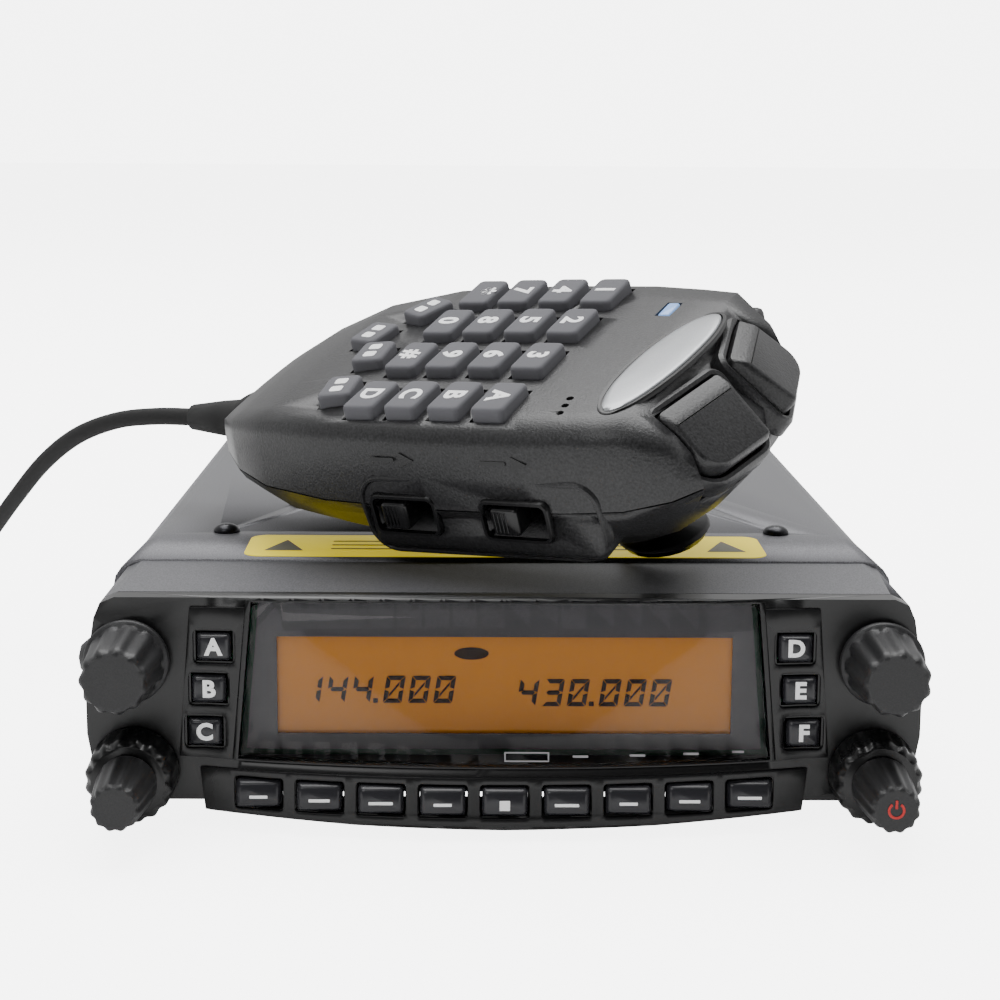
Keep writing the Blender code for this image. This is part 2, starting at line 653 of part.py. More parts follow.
def make_knobs():
    """Two tuning dials on push shafts, and two pairs of a squelch ring round a volume knob."""
    for side in (-1, 1):
        hand = sided(side)
        place = facing_front(side * DIAL_X, DIAL_Z, FACE_Y)
        shaft = turned(
            f"{hand}_tuning_shaft",
            [(0, 9 * MM), (SHAFT_RADIUS, 9 * MM), (SHAFT_RADIUS, -6 * MM), (0, -6 * MM)],
            STEEL,
            steps=12,
        )
        shaft.matrix_world = place
        profile = ((0, 15.2), (4.9, 15.0), (5.5, 14.4), (5.7, 11), (6.1, 6.5), (6.9, 2.6), (7.1, 1.3))
        profile += ((2.3, 1.3), (2.3, 9.4), (0, 9.4))
        dial = turned(f"{hand}_tuning_dial", [(r * MM, z * MM) for r, z in profile], BLACK_RUBBER, steps=24)
        dial.matrix_world = place

        place = facing_front(side * VOLUME_X, VOLUME_Z, FACE_Y)
        profile = ((7.0, 7.6), (7.2, 7.0), (7.2, 2.4), (7.5, 1.4), (7.5, 0.6), (2.9, 0.6), (2.9, 7.6))
        ring = turned(f"{hand}_squelch_ring", ring_profile(profile), BLACK_PLASTIC)
        ring.matrix_world = place
        if side > 0:
            shaft = turned(
                "power_shaft",
                [(0, 13 * MM), (POWER_SHAFT_RADIUS, 13 * MM), (POWER_SHAFT_RADIUS, -6 * MM), (0, -6 * MM)],
                STEEL,
                steps=12,
            )
            shaft.matrix_world = place
            socket = ((1.9, 8.4), (1.9, 13.4), (0, 13.4))
        else:
            socket = ((2.4, 8.4), (2.4, -4.0), (0, -4.0))
        front = VOLUME_LENGTH
        profile = ((0, front), (3.5, front - 0.1), (3.9, front - 0.7), (5.0, 9.0), (5.0, 8.4), *socket)
        knob = turned(f"{hand}_volume_knob", [(r * MM, z * MM) for r, z in profile], BLACK_RUBBER, steps=24)
        knob.matrix_world = place


def make_side_cap():
    """The rubber cap over the head's side jack."""
    profile = ((0, 4.2), (2.2, 3.6), (3.6, 2.0), (4.0, 0.4), (3.0, 0.4), (3.0, -4.0), (0, -4.0))
    cap = turned("side_jack_cap", [(r * MM, z * MM) for r, z in profile], BLACK_RUBBER, steps=16)
    place = Matrix.Translation((-HEAD_HALF_WIDTH, SIDE_JACK_Y, SIDE_JACK_Z))
    cap.matrix_world = place @ Matrix.Rotation(-pi / 2, 4, "Y")


# Handset


def handset_frame():
    """An empty in the middle of the keypad: X runs to the handset's top end, and Z out of its face."""
    empty = bpy.data.objects.new("handset_frame", None)
    PARTS.objects.link(empty)
    empty.location = HANDSET_AT
    turn = Matrix.Rotation(HANDSET_TURN, 3, "Z") @ Matrix.Rotation(HANDSET_RISE, 3, "Y")
    empty.rotation_euler = (turn @ Matrix.Rotation(HANDSET_LEAN, 3, "X")).to_euler()
    bpy.context.view_layer.update()
    return empty


def station_at(x):
    """Half width, face height and back height of the handset at x, between its stations."""
    stations = HANDSET_STATIONS
    for first, last in zip(stations, stations[1:]):
        if first[0] * MM <= x <= last[0] * MM:
            part = (x / MM - first[0]) / (last[0] - first[0])
            return [(a + (b - a) * part) * MM for a, b in zip(first[1:], last[1:])]
    return [value * MM for value in stations[-1 if x > 0 else 0][1:]]


def half_section(x, up, inset=0.0):
    """Half of the handset's section: the face's half when up is true, or the back's."""
    half, face, back = station_at(x)
    end = face if up else back
    half, end = half - inset, end - inset * (1 if up else -1)
    profile = FACE_SECTION if up else BACK_SECTION
    section = [(x, half * t, HANDSET_SEAM + (end - HANDSET_SEAM) * h) for t, h in profile]
    return section + [(x, -y, z) for _, y, z in reversed(section[:-1])]


def face_height(x, y):
    """Height of the handset's face at (x, y)."""
    half, face, _ = station_at(x)
    across = min(1.0, abs(y / half))
    for (outer, low), (inner, high) in zip(FACE_SECTION, FACE_SECTION[1:]):
        if across >= inner:
            part = (outer - across) / (outer - inner)
            return HANDSET_SEAM + (face - HANDSET_SEAM) * (low + (high - low) * part)


def half_shell(name, up, frame):
    """One half of the handset: a lofted outside, less a smaller copy of itself."""
    seam = GAP / 2 * (1 if up else -1)

    def solid(label, inset, finish, reach):
        sections = []
        for x, *_ in HANDSET_STATIONS:
            place = x * MM
            if inset:
                place = min(max(place, (-57.0 + 1.6) * MM), (50.0 - 1.8) * MM)
            section = half_section(place, up, inset)
            ends = [(px, py, HANDSET_SEAM + seam - reach) for px, py, _ in (section[-1], section[0])]
            sections.append([(px, py, pz + seam) for px, py, pz in section] + (ends if reach else []))
        return loft(label, sections, True, finish, frame)

    shell = solid(name, 0.0, BLACK_PLASTIC, 0.0)
    hollow = solid(f"{name}_hollow_cutter", SHELL_WALL, None, 2 * MM * (1 if up else -1))
    return cut(shell, hollow)


def keypad_places():
    """x, y and turn of the handset's twenty keys."""
    grid = [(x * MM, y * MM, 0.0) for x in KEYPAD_COLUMNS for y in KEYPAD_ROWS]
    return grid + [(x * MM, y * MM, radians(turn)) for x, y, turn in KEYPAD_EXTRA]


def key_blocks(name, grow, drop, rise, frame):
    """One box for each key of the keypad, from drop below the face to rise above it."""
    shape = bmesh.new()
    for x, y, turn in keypad_places():
        height = face_height(x, y)
        long = KEYPAD_KEY[1] if not turn else 8.2 * MM
        low = (x - KEYPAD_KEY[0] / 2 - grow, y - long / 2 - grow, height - drop)
        high = (x + KEYPAD_KEY[0] / 2 + grow, y + long / 2 + grow, height + rise)
        add_block(shape, low, high, Matrix.Rotation(turn, 4, "Z"))
    return add_object(name, mesh_from(name, shape), None, frame)


def make_keypad(frame, shell):
    """A silicone mat under the face with twenty keys that stand through it."""
    cut(shell, key_blocks("keypad_openings_cutter", GAP, 6 * MM, 5 * MM, frame))
    sections = []
    for i in range(9):
        x = (-34 + 52 * i / 8) * MM
        reach = 27.5 * MM - 6 * MM * max(0.0, (-18 * MM - x) / (16 * MM))
        across = [reach * (1 - 2 * j / 8) for j in range(9)]
        top = [(x, y, face_height(x, y) - SHELL_WALL - 1.0 * MM) for y in across]
        base = [(x, y, face_height(x, y) - SHELL_WALL - 2.1 * MM) for y in reversed(across)]
        sections.append(top + base)
    mat = loft("handset_keypad", sections, True, BLACK_RUBBER, frame)
    cut(mat, key_blocks("keypad_keys", 0.0, 3.1 * MM, 2.2 * MM, frame), operation="UNION")
    return mat


def make_handset(frame):
    """Two shells, the keypad mat, the keys and switches round the edge, and the board inside."""
    face = half_shell("handset_front_shell", True, frame)
    back = half_shell("handset_back_shell", False, frame)
    make_keypad(frame, face)
    housing = blocks("switch_housing", [HOUSING], parent=frame)
    round_edges(housing, 2.2 * MM, 3)
    cut(back, housing, operation="UNION")
    plate = (-44 * MM, -18 * MM, -12.5 * MM), (35.5 * MM, 18 * MM, -11 * MM)
    board = blocks("handset_board", [plate], BOARD_GREEN, frame)
    low, high = Vector((25, -13, -12)) * MM, Vector((25, -13, -6.8)) * MM
    capsule = cylinder("microphone_capsule", 4.5 * MM, low, high, parent=frame)
    cut(board, capsule, operation="UNION")

    for i in range(3):
        x, y = MICROPHONE_HOLES[0] + 0.2 * MM * i, MICROPHONE_HOLES[1] - 2.4 * MM * i
        name = f"microphone_hole_{i + 1}"
        cut(face, cylinder(name, 0.7 * MM, (x, y, -9 * MM), (x, y, 3 * MM), parent=frame, sides=8))
    make_lens(frame, face)
    make_badge(frame)
    for name, x in SWITCHES:
        switch_and_window(frame, face, back, name, x)
    make_push_to_talk(frame, face, back)
    make_end_keys(frame, face, back)

    profile = ((0, 0), (3.4, 0), (3.4, -1.9), (8.2, -2.7), (8.6, -3.6), (7.6, -5.0), (0, -5.2))
    button = turned("hang_button", [(r * MM, z * MM) for r, z in profile], BLACK_PLASTIC, frame)
    button.location = (27 * MM, 0, -34.7 * MM)


def make_lens(frame, face):
    """The status lamp's lens, in an opening of the face."""
    x, y = LENS_AT
    half, long = LENS_SIZE[0] / 2, LENS_SIZE[1] / 2
    around = [((x - half - GAP, y - long - GAP, -9 * MM), (x + half + GAP, y + long + GAP, 3 * MM))]
    cut(face, blocks("lens_cutter", around, parent=frame))
    lens = blocks("status_lens", [((-half, -long, -2.0 * MM), (half, long, GAP))], BLUE_LENS, frame)
    lens.location = (x, y, face_height(x, y))
    round_edges(lens, 0.5 * MM, 2)


def make_badge(frame):
    """An oval name plate, left plain, that follows the face's crown across the handset."""
    sections = []
    steps = 14
    for i in range(steps + 1):
        angle = pi * (0.06 + 0.88 * i / steps)
        y = BADGE_MIDDLE[1] + BADGE_HALF_LENGTH * cos(angle)
        middle = BADGE_MIDDLE[0] + BADGE_LEAN * (y - BADGE_MIDDLE[1])
        half = BADGE_HALF_WIDTH * sin(angle)
        height = face_height(BADGE_MIDDLE[0], y) + 1.6 * GAP
        sections.append(
            [
                (middle - half, y, height),
                (middle + half, y, height),
                (middle + half, y, height + 0.5 * MM),
                (middle - half, y, height + 0.5 * MM),
            ]
        )
    loft("badge_plate", sections, True, SILVER_PLATE, frame)


def tube(name, points, radius, finish):
    """A round tube through points, with flat ends."""
    curve = bpy.data.curves.new(name, "CURVE")
    curve.dimensions = "3D"
    curve.bevel_depth = radius
    curve.bevel_resolution = 2
    curve.use_fill_caps = True
    spline = curve.splines.new("POLY")
    spline.points.add(len(points) - 1)
    for place, point in zip(spline.points, points):
        place.co = (*point, 1.0)
    obj = bpy.data.objects.new(name, curve)
    curve.materials.append(finish)
    PARTS.objects.link(obj)
    return obj


def smooth_route(route, spacing):
    """Points at an even spacing along a Catmull-Rom curve through the route's own points."""
    ends = [2 * route[0] - route[1], *route, 2 * route[-1] - route[-2]]
    dense = []
    for a, b, c, d in zip(ends, ends[1:], ends[2:], ends[3:]):
        square, cube = 2 * a - 5 * b + 4 * c - d, 3 * b - a - 3 * c + d
        for i in range(40):
            t = i / 40
            dense.append(b + 0.5 * ((c - a) * t + square * t**2 + cube * t**3))
    dense.append(route[-1])
    lengths = [0.0]
    for a, b in zip(dense, dense[1:]):
        lengths.append(lengths[-1] + (b - a).length)
    count = max(2, round(lengths[-1] / spacing))
    points, at = [], 0
    for i in range(count + 1):
        wanted = lengths[-1] * i / count
        while at < len(dense) - 2 and lengths[at + 1] < wanted:
            at += 1
        part = (wanted - lengths[at]) / (lengths[at + 1] - lengths[at])
        points.append(dense[at].lerp(dense[at + 1], part))
    return points


def coil_point(angle):
    """A point of the curly stretch's centre line, which lies as an oval on the table."""
    x, y = COIL_MIDDLE
    return Vector((x + COIL_HALF_X * cos(angle), y + COIL_HALF_Y * sin(angle), COIL_HEIGHT))


def make_cord(frame):
    """Strain relief, straight tail, curly stretch, short tail and plug."""
    profile = ((0, 0.3), (5.4, 0.3), (5.4, 2.0), (3.9, 5.0), (3.6, 9.0), (2.6, 17.0), (0, 17.0))
    turned_profile = [(r * MM, z * MM) for r, z in reversed(profile)]
    relief = turned("strain_relief", turned_profile, BLACK_RUBBER, frame, 16)
    relief.location = (HANDSET_STATIONS[0][0] * MM, 0, -18.4 * MM)
    relief.rotation_euler = (0, -pi / 2, 0)
    spacing = 4.8 * CORD_RADIUS
    tube("cord_tail", smooth_route(TAIL_ROUTE, spacing), CORD_RADIUS, BLACK_RUBBER)
    steps = 44
    turns = [COIL_START + (COIL_END - COIL_START) * i / steps for i in range(steps + 1)]
    tube("cord_coil", [coil_point(angle) for angle in turns], COIL_RADIUS, BLACK_RUBBER)
    tube("plug_tail", smooth_route(PLUG_ROUTE, spacing), CORD_RADIUS, BLACK_RUBBER)
    plug = blocks(
        "cord_plug",
        [((0, -PLUG_WIDTH / 2, -PLUG_HEIGHT / 2), (PLUG_LENGTH, PLUG_WIDTH / 2, PLUG_HEIGHT / 2))],
        BLACK_PLASTIC,
    )
    along = (PLUG_ROUTE[-1] - PLUG_ROUTE[-2]).normalized()
    plug.rotation_euler = (0, 0, atan2(along.y, along.x))
    plug.location = PLUG_ROUTE[-1] + along * GAP
    round_edges(plug, 0.8 * MM, 1)


def switch_and_window(frame, face, back, name, x):
    """A slide switch in an oblong window low on the near side of the handset."""
    half = station_at(x * MM)[0]
    z = SWITCH_Z
    window = blocks(
        f"{name}_cutter",
        [
            (
                ((x - 6) * MM, -half - 3 * MM, (z - 3.2) * MM),
                ((x + 6) * MM, -half + 8.5 * MM, (z + 3.2) * MM),
            )
        ],
        parent=frame,
    )
    cut(back, window)
    cut(face, window)
    corners = [((-2.6 * MM, -0.6 * MM, -2.6 * MM), (2.6 * MM, 7.0 * MM, 2.6 * MM))]
    switch = blocks(name, corners, BLACK_PLASTIC, frame)
    switch.location = ((x - SWITCH_TRAVEL / 2) * MM, -half - 0.2 * MM, z * MM)
    round_edges(switch, 0.5 * MM, 1)


def make_push_to_talk(frame, face, back):
    """The long lever on the far side, hinged near its cord end."""
    slot = blocks(
        "push_to_talk_cutter",
        [((-6 * MM, 25.5 * MM, -26.3 * MM), (39.3 * MM, 40 * MM, -8.7 * MM))],
        parent=frame,
    )
    cut(face, slot)
    cut(back, slot)
    lever = blocks(
        "push_to_talk_lever",
        [((0.3 * MM, -1.5 * MM, -8.4 * MM), (43.6 * MM, 4.4 * MM, 8.4 * MM))],
        BLACK_PLASTIC,
        frame,
    )
    lever.location = (-4.9 * MM, 29.4 * MM, -17.5 * MM)
    round_edges(lever, 1.5 * MM, 2)


def make_end_keys(frame, face, back):
    """Up and down keys on the sloped top end, with a bar of the shell between them."""
    slope = radians(48)
    for name, side in (("up_key", -1), ("down_key", 1)):
        y0, y1 = -8.2 * MM, 8.2 * MM
        pocket = blocks(
            f"{name}_cutter", [((-7.3 * MM, y0 - GAP, -3 * MM), (9.8 * MM, y1 + GAP, 9 * MM))], parent=frame
        )
        pocket.location = (45.2 * MM, side * 11.2 * MM, -12.0 * MM)
        pocket.rotation_euler = (0, slope, side * radians(16))
        cut(face, pocket)
        cut(back, pocket)
        key = blocks(name, [((-7.0 * MM, y0, -2.0 * MM), (7.0 * MM, y1, 4.2 * MM))], BLACK_PLASTIC, frame)
        key.location = pocket.location
        key.rotation_euler = pocket.rotation_euler
        round_edges(key, 1.2 * MM, 2)


make_covers()
make_chassis()
make_inside()
make_fan()
make_sockets()
make_head_shells()
make_head_keys()
make_display()
make_knobs()
make_side_cap()
HANDSET = handset_frame()
make_handset(HANDSET)
make_cord(HANDSET)
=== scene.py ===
"""Looks of a mobile transceiver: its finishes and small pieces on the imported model."""

import logging
from collections.abc import Callable, Iterable, Sequence
from dataclasses import dataclass
from enum import Enum
from functools import cache
from math import atan2, cos, hypot, pi, radians, sin

import bmesh
import bpy
from mathutils import Matrix, Vector


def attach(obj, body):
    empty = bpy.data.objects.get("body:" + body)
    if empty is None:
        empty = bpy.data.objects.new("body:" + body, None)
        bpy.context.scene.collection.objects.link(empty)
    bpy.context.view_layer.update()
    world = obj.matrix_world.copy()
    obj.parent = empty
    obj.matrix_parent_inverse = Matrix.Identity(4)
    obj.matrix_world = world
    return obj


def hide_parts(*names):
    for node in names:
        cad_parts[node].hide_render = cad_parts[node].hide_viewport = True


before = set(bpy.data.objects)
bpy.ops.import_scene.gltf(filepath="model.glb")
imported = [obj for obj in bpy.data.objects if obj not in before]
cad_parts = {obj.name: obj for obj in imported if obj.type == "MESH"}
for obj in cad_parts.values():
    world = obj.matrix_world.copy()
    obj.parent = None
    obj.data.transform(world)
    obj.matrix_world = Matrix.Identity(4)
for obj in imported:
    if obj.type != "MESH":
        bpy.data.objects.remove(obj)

LOG = logging.getLogger("transceiver")
MM = 0.001
WELD = 0.001 * MM
Point = tuple[float, float]
Colour = tuple[float, float, float]
Spot = tuple[float, float, float]
Rings = Sequence[Sequence[Sequence[float]]]
Piece = bpy.types.Object
Socket = bpy.types.NodeSocket


# Shading


class Tree:
    """Adds nodes to a shader or geometry tree."""

    def __init__(self, tree: bpy.types.NodeTree) -> None:
        """Keeps the tree that the nodes go into."""
        self.tree = tree

    def add(self, kind: str, inputs: dict | None = None, **settings: object) -> bpy.types.Node:
        """Adds a node.

        Args:
            kind: The node's type.
            inputs: Values or sockets for its inputs, by name or number.
            settings: The node's own properties.

        Returns:
            The new node.
        """
        node = self.tree.nodes.new(kind)
        for name, value in settings.items():
            setattr(node, name, value)
        for key, value in (inputs or {}).items():
            if isinstance(value, Socket):
                self.tree.links.new(value, node.inputs[key])
            else:
                node.inputs[key].default_value = value
        return node

    def math(self, operation: str, *values: object, clamp: bool = False) -> Socket:
        """Adds a Math node and returns its output."""
        inputs = dict(enumerate(values))
        return self.add("ShaderNodeMath", inputs, operation=operation, use_clamp=clamp).outputs[0]

    def spread(self, value: object, low: object, high: object) -> Socket:
        """Maps a value between 0 and 1 on to low and high, and returns the result."""
        return self.add("ShaderNodeMapRange", {0: value, 3: low, 4: high}).outputs[0]

    def blend(self, factor: object, first: object, second: object) -> Socket:
        """Mixes two colours and returns the result."""
        node = self.add("ShaderNodeMix", {0: factor, 6: first, 7: second}, data_type="RGBA")
        return node.outputs[2]

    def noise(self, place: Socket, scale: object, detail: float) -> Socket:
        """Adds a noise texture and returns its value."""
        inputs = {"Vector": place, "Scale": scale, "Detail": detail}
        return self.add("ShaderNodeTexNoise", inputs).outputs[0]

    def vector(self, operation: str, inputs: dict) -> bpy.types.Node:
        """Adds a Vector Math node."""
        return self.add("ShaderNodeVectorMath", inputs, operation=operation)


def rgba(colour: Colour) -> tuple[float, float, float, float]:
    """A colour with full opacity."""
    return (*colour, 1.0)


def open_group(name: str, ins: dict[str, float], outs: Sequence[str]) -> tuple[Tree, dict, bpy.types.Node]:
    """Starts a shader node group.

    Args:
        name: The group's name.
        ins: Its inputs with their first values.
        outs: Its outputs.

    Returns:
        Its tree, its input sockets by name, and its output node.
    """
    group = bpy.data.node_groups.new(name, "ShaderNodeTree")
    for label, value in ins.items():
        socket = group.interface.new_socket(name=label, in_out="INPUT", socket_type="NodeSocketFloat")
        socket.default_value = value
    for label in outs:
        group.interface.new_socket(name=label, in_out="OUTPUT", socket_type="NodeSocketFloat")
    tree = Tree(group)
    start = tree.add("NodeGroupInput")
    return tree, {label: start.outputs[label] for label in ins}, tree.add("NodeGroupOutput")


@cache
def grain_group() -> bpy.types.NodeTree:
    """Moulded or painted grain: a fine speckle, a broad haze and a height, in object space."""
    ins = {"Grain Scale": 3000.0, "Haze Scale": 40.0, "Sharpness": 0.5}
    tree, given, end = open_group("surface_grain", ins, ("Speckle", "Haze", "Height"))
    place = tree.add("ShaderNodeTexCoord").outputs["Object"]
    fine = tree.noise(place, given["Grain Scale"], 2.0)
    broad = tree.noise(place, given["Haze Scale"], 4.0)
    reach = tree.math("SUBTRACT", 0.5, tree.math("MULTIPLY", given["Sharpness"], 0.4))
    low = tree.math("SUBTRACT", 0.5, reach)
    high = tree.math("ADD", 0.5, reach)
    speckle = tree.add("ShaderNodeMapRange", {0: fine, 1: low, 2: high}).outputs[0]
    for socket, value in zip(end.inputs, (speckle, broad, fine)):
        tree.tree.links.new(value, socket)
    return tree.tree


@cache
def wear_group() -> bpy.types.NodeTree:
    """Rubbed edges: a mask that is 1 on an outer edge and 0 on a flat, broken up by noise."""
    tree, given, end = open_group("edge_wear", {"Radius": 0.0003, "Amount": 1.0}, ("Mask",))
    turned = tree.add("ShaderNodeBevel", {"Radius": given["Radius"]}, samples=4).outputs[0]
    normal = tree.add("ShaderNodeNewGeometry").outputs["Normal"]
    dot = tree.vector("DOT_PRODUCT", {0: turned, 1: normal}).outputs["Value"]
    turn = tree.math("MULTIPLY", tree.math("SUBTRACT", 1.0, dot), 6.0, clamp=True)
    place = tree.add("ShaderNodeTexCoord").outputs["Object"]
    patches = tree.noise(place, 220.0, 3.0)
    mask = tree.math("MULTIPLY", turn, tree.spread(patches, 0.2, 1.0))
    mask = tree.math("MULTIPLY", mask, given["Amount"], clamp=True)
    tree.tree.links.new(mask, end.inputs["Mask"])
    return tree.tree


def open_material(name: str) -> tuple[bpy.types.Material, Tree]:
    """Starts a material and returns it with its empty tree."""
    made = bpy.data.materials.new(name)
    made.use_nodes = True
    made.node_tree.nodes.clear()
    return made, Tree(made.node_tree)


@dataclass(frozen=True)
class Finish:
    """A moulded, painted or metal surface with grain, haze and rubbed edges."""

    name: str
    dark: Colour
    light: Colour
    roughness: float = 0.5
    rough_spread: float = 0.08
    metallic: float = 0.0
    grain: float = 3000.0
    haze: float = 40.0
    sharpness: float = 0.5
    bump: float = 0.00002
    wear: float = 0.3
    wear_colour: Colour = (0.2, 0.2, 0.21)
    coat: float = 0.0
    slot: str = ""

    @cache
    def material(self) -> bpy.types.Material:
        """Builds the material once and returns it."""
        made, tree = open_material(self.name)
        settings = {"Grain Scale": self.grain, "Haze Scale": self.haze, "Sharpness": self.sharpness}
        grain = tree.add("ShaderNodeGroup", node_tree=grain_group())
        for key, value in settings.items():
            grain.inputs[key].default_value = value
        colour = tree.blend(grain.outputs["Speckle"], rgba(self.dark), rgba(self.light))
        haze = tree.spread(grain.outputs["Haze"], 0.8, 1.2)
        scaled = tree.vector("SCALE", {0: colour, "Scale": haze}).outputs[0]
        low, high = self.roughness - self.rough_spread, self.roughness + self.rough_spread
        rough = tree.spread(grain.outputs["Haze"], low, high)
        if self.wear > 0:
            wear = tree.add("ShaderNodeGroup", node_tree=wear_group())
            wear.inputs["Amount"].default_value = self.wear
            scaled = tree.blend(wear.outputs["Mask"], scaled, rgba(self.wear_colour))
        inputs = {"Base Color": scaled, "Roughness": rough}
        inputs |= {"Metallic": self.metallic, "Coat Weight": self.coat}
        if self.bump > 0:
            height = {"Height": grain.outputs["Height"], "Distance": self.bump, "Strength": 1.0}
            inputs["Normal"] = tree.add("ShaderNodeBump", height).outputs[0]
        shader = tree.add("ShaderNodeBsdfPrincipled", inputs)
        shader.inputs["Coat Roughness"].default_value = 0.15
        tree.add("ShaderNodeOutputMaterial", {"Surface": shader.outputs[0]})
        return made


@dataclass(frozen=True)
class Glow:
    """A lit or printed surface whose colour may fall off from its ends to its middle; its emission is a lamp
    on a lens and a painted glow on a label or print.
    """

    name: str
    middle: Colour
    edge: Colour
    # Emission strength: on a label or print this glow is painted light, not a lamp.
    strength: float = 0.0
    roughness: float = 0.4
    half_width: float = 0.0385
    slot: str = ""

    @cache
    def material(self) -> bpy.types.Material:
        """Builds the material once and returns it."""
        made, tree = open_material(self.name)
        place = tree.add("ShaderNodeTexCoord").outputs["Object"]
        along = tree.add("ShaderNodeSeparateXYZ", {0: place}).outputs[0]
        off = tree.math("DIVIDE", tree.math("ABSOLUTE", along), self.half_width, clamp=True)
        mask = tree.math("POWER", off, 2.5)
        noise = tree.add("ShaderNodeTexNoise", {"Vector": place, "Scale": 60.0}).outputs[0]
        mask = tree.math("ADD", mask, tree.spread(noise, -0.08, 0.08), clamp=True)
        colour = tree.blend(mask, rgba(self.middle), rgba(self.edge))
        inputs = {"Base Color": colour, "Roughness": self.roughness}
        if self.strength > 0:
            inputs |= {"Emission Color": colour, "Emission Strength": self.strength}
        shader = tree.add("ShaderNodeBsdfPrincipled", inputs)
        tree.add("ShaderNodeOutputMaterial", {"Surface": shader.outputs[0]})
        return made


@dataclass(frozen=True)
class Clear:
    """Tinted clear plastic or glass."""

    name: str
    tint: Colour
    roughness: float = 0.03
    bend: float = 1.02
    coat: float = 0.0
    slot: str = ""

    @cache
    def material(self) -> bpy.types.Material:
        """Builds the material once and returns it."""
        made, tree = open_material(self.name)
        place = tree.add("ShaderNodeTexCoord").outputs["Object"]
        smears = tree.noise(place, 90.0, 3.0)
        rough = tree.spread(smears, self.roughness * 0.6, self.roughness * 1.6)
        inputs = {"Base Color": rgba(self.tint), "Roughness": rough, "Transmission Weight": 1.0}
        shader = tree.add("ShaderNodeBsdfPrincipled", inputs)
        shader.inputs["IOR"].default_value = self.bend
        shader.inputs["Coat Weight"].default_value = self.coat
        shader.inputs["Coat Roughness"].default_value = 0.04
        tree.add("ShaderNodeOutputMaterial", {"Surface": shader.outputs[0]})
        return made


@dataclass(frozen=True)
class SlotFinish:
    """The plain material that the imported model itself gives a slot."""

    slot: str

    def material(self) -> bpy.types.Material:
        """The slot's own material."""
        return bpy.data.materials[self.slot]


GREY_PAINT = Finish(
    "speckled_grey_paint", (0.075, 0.075, 0.08), (0.17, 0.17, 0.183), 0.42, 0.05, 0.35,
    grain=3800, haze=12, sharpness=0.8, bump=0.00001, wear=0.25, wear_colour=(0.4, 0.4, 0.42),
    slot="grey_paint",
)
HEAD_PLASTIC = Finish(
    "satin_black_plastic", (0.004, 0.004, 0.0042), (0.008, 0.008, 0.0085), 0.34, 0.05,
    grain=5000, bump=0.000004, wear=0.15, wear_colour=(0.05, 0.05, 0.055), coat=0.15, slot="head_plastic",
)
KEY_PLASTIC = SlotFinish("key_plastic")
KNOB_RUBBER = Finish(
    "matt_knob_plastic", (0.011, 0.011, 0.0115), (0.022, 0.022, 0.0235), 0.46, 0.08,
    grain=4200, bump=0.00002, wear=0.2, wear_colour=(0.07, 0.07, 0.075), slot="knob_rubber",
)
HANDSET_PLASTIC = Finish(
    "spark_textured_plastic", (0.009, 0.009, 0.0094), (0.03, 0.03, 0.0315), 0.37, 0.06,
    grain=2200, haze=25, sharpness=0.7, bump=0.00007, wear=0.2, wear_colour=(0.08, 0.08, 0.085),
    slot="handset_plastic",
)
KEYPAD_SILICONE = SlotFinish("keypad_silicone")
BLACK_TRIM = Finish(
    "black_trim", (0.004, 0.004, 0.0042), (0.007, 0.007, 0.0075), 0.28, 0.05,
    grain=5000, bump=0.000004, wear=0.2, wear_colour=(0.05, 0.05, 0.055), slot="black_plastic",
)
INNER_MASK = Finish(
    "display_mask", (0.09, 0.09, 0.095), (0.11, 0.11, 0.115), 0.5, grain=5000, bump=0.000003, wear=0,
    slot="black_plastic",
)
CORD_RUBBER = SlotFinish("cord_rubber")
BLACK_STEEL = Finish(
    "blackened_steel", (0.02, 0.02, 0.022), (0.045, 0.045, 0.05), 0.32, 0.08, 0.8,
    grain=3500, bump=0.000006, wear=0.7, wear_colour=(0.3, 0.3, 0.31), slot="black_steel",
)
STEEL = Finish(
    "plated_steel", (0.48, 0.48, 0.5), (0.6, 0.6, 0.62), 0.28, 0.08, 1.0,
    grain=2500, bump=0.000004, wear=0.4, wear_colour=(0.8, 0.8, 0.82), slot="steel",
)
ALUMINIUM = Finish(
    "cast_aluminium", (0.42, 0.43, 0.44), (0.58, 0.59, 0.6), 0.46, 0.08, 0.9,
    grain=1600, haze=30, bump=0.00004, wear=0.4, wear_colour=(0.75, 0.75, 0.77), slot="bare_aluminium",
)
BADGE_SILVER = Finish(
    "brushed_silver_plate", (0.36, 0.37, 0.38), (0.46, 0.47, 0.48), 0.34, 0.04, 0.7,
    grain=4200, bump=0.000006, wear=0.3, wear_colour=(0.7, 0.7, 0.72), slot="silver_plate",
)
BOARD_GREEN = SlotFinish("board_green")
PAPER = SlotFinish("paper_cone")
GOLD = Finish(
    "gold_contacts", (0.7, 0.5, 0.18), (0.8, 0.6, 0.25), 0.25, 0.05, 1.0,
    grain=3000, bump=0.000003, wear=0, slot="steel",
)
# The label's yellow also glows a little: painted light, as the label is no lamp.
GLOWING_YELLOW_LABEL = Glow("label_yellow", (0.95, 0.74, 0.0), (0.95, 0.76, 0.0), 0.45, 0.4, slot="grey_paint")
LABEL_GREY = Finish(
    "label_grey_print", (0.16, 0.15, 0.1), (0.2, 0.19, 0.13), 0.5, grain=3000, bump=0, wear=0,
    slot="grey_paint",
)
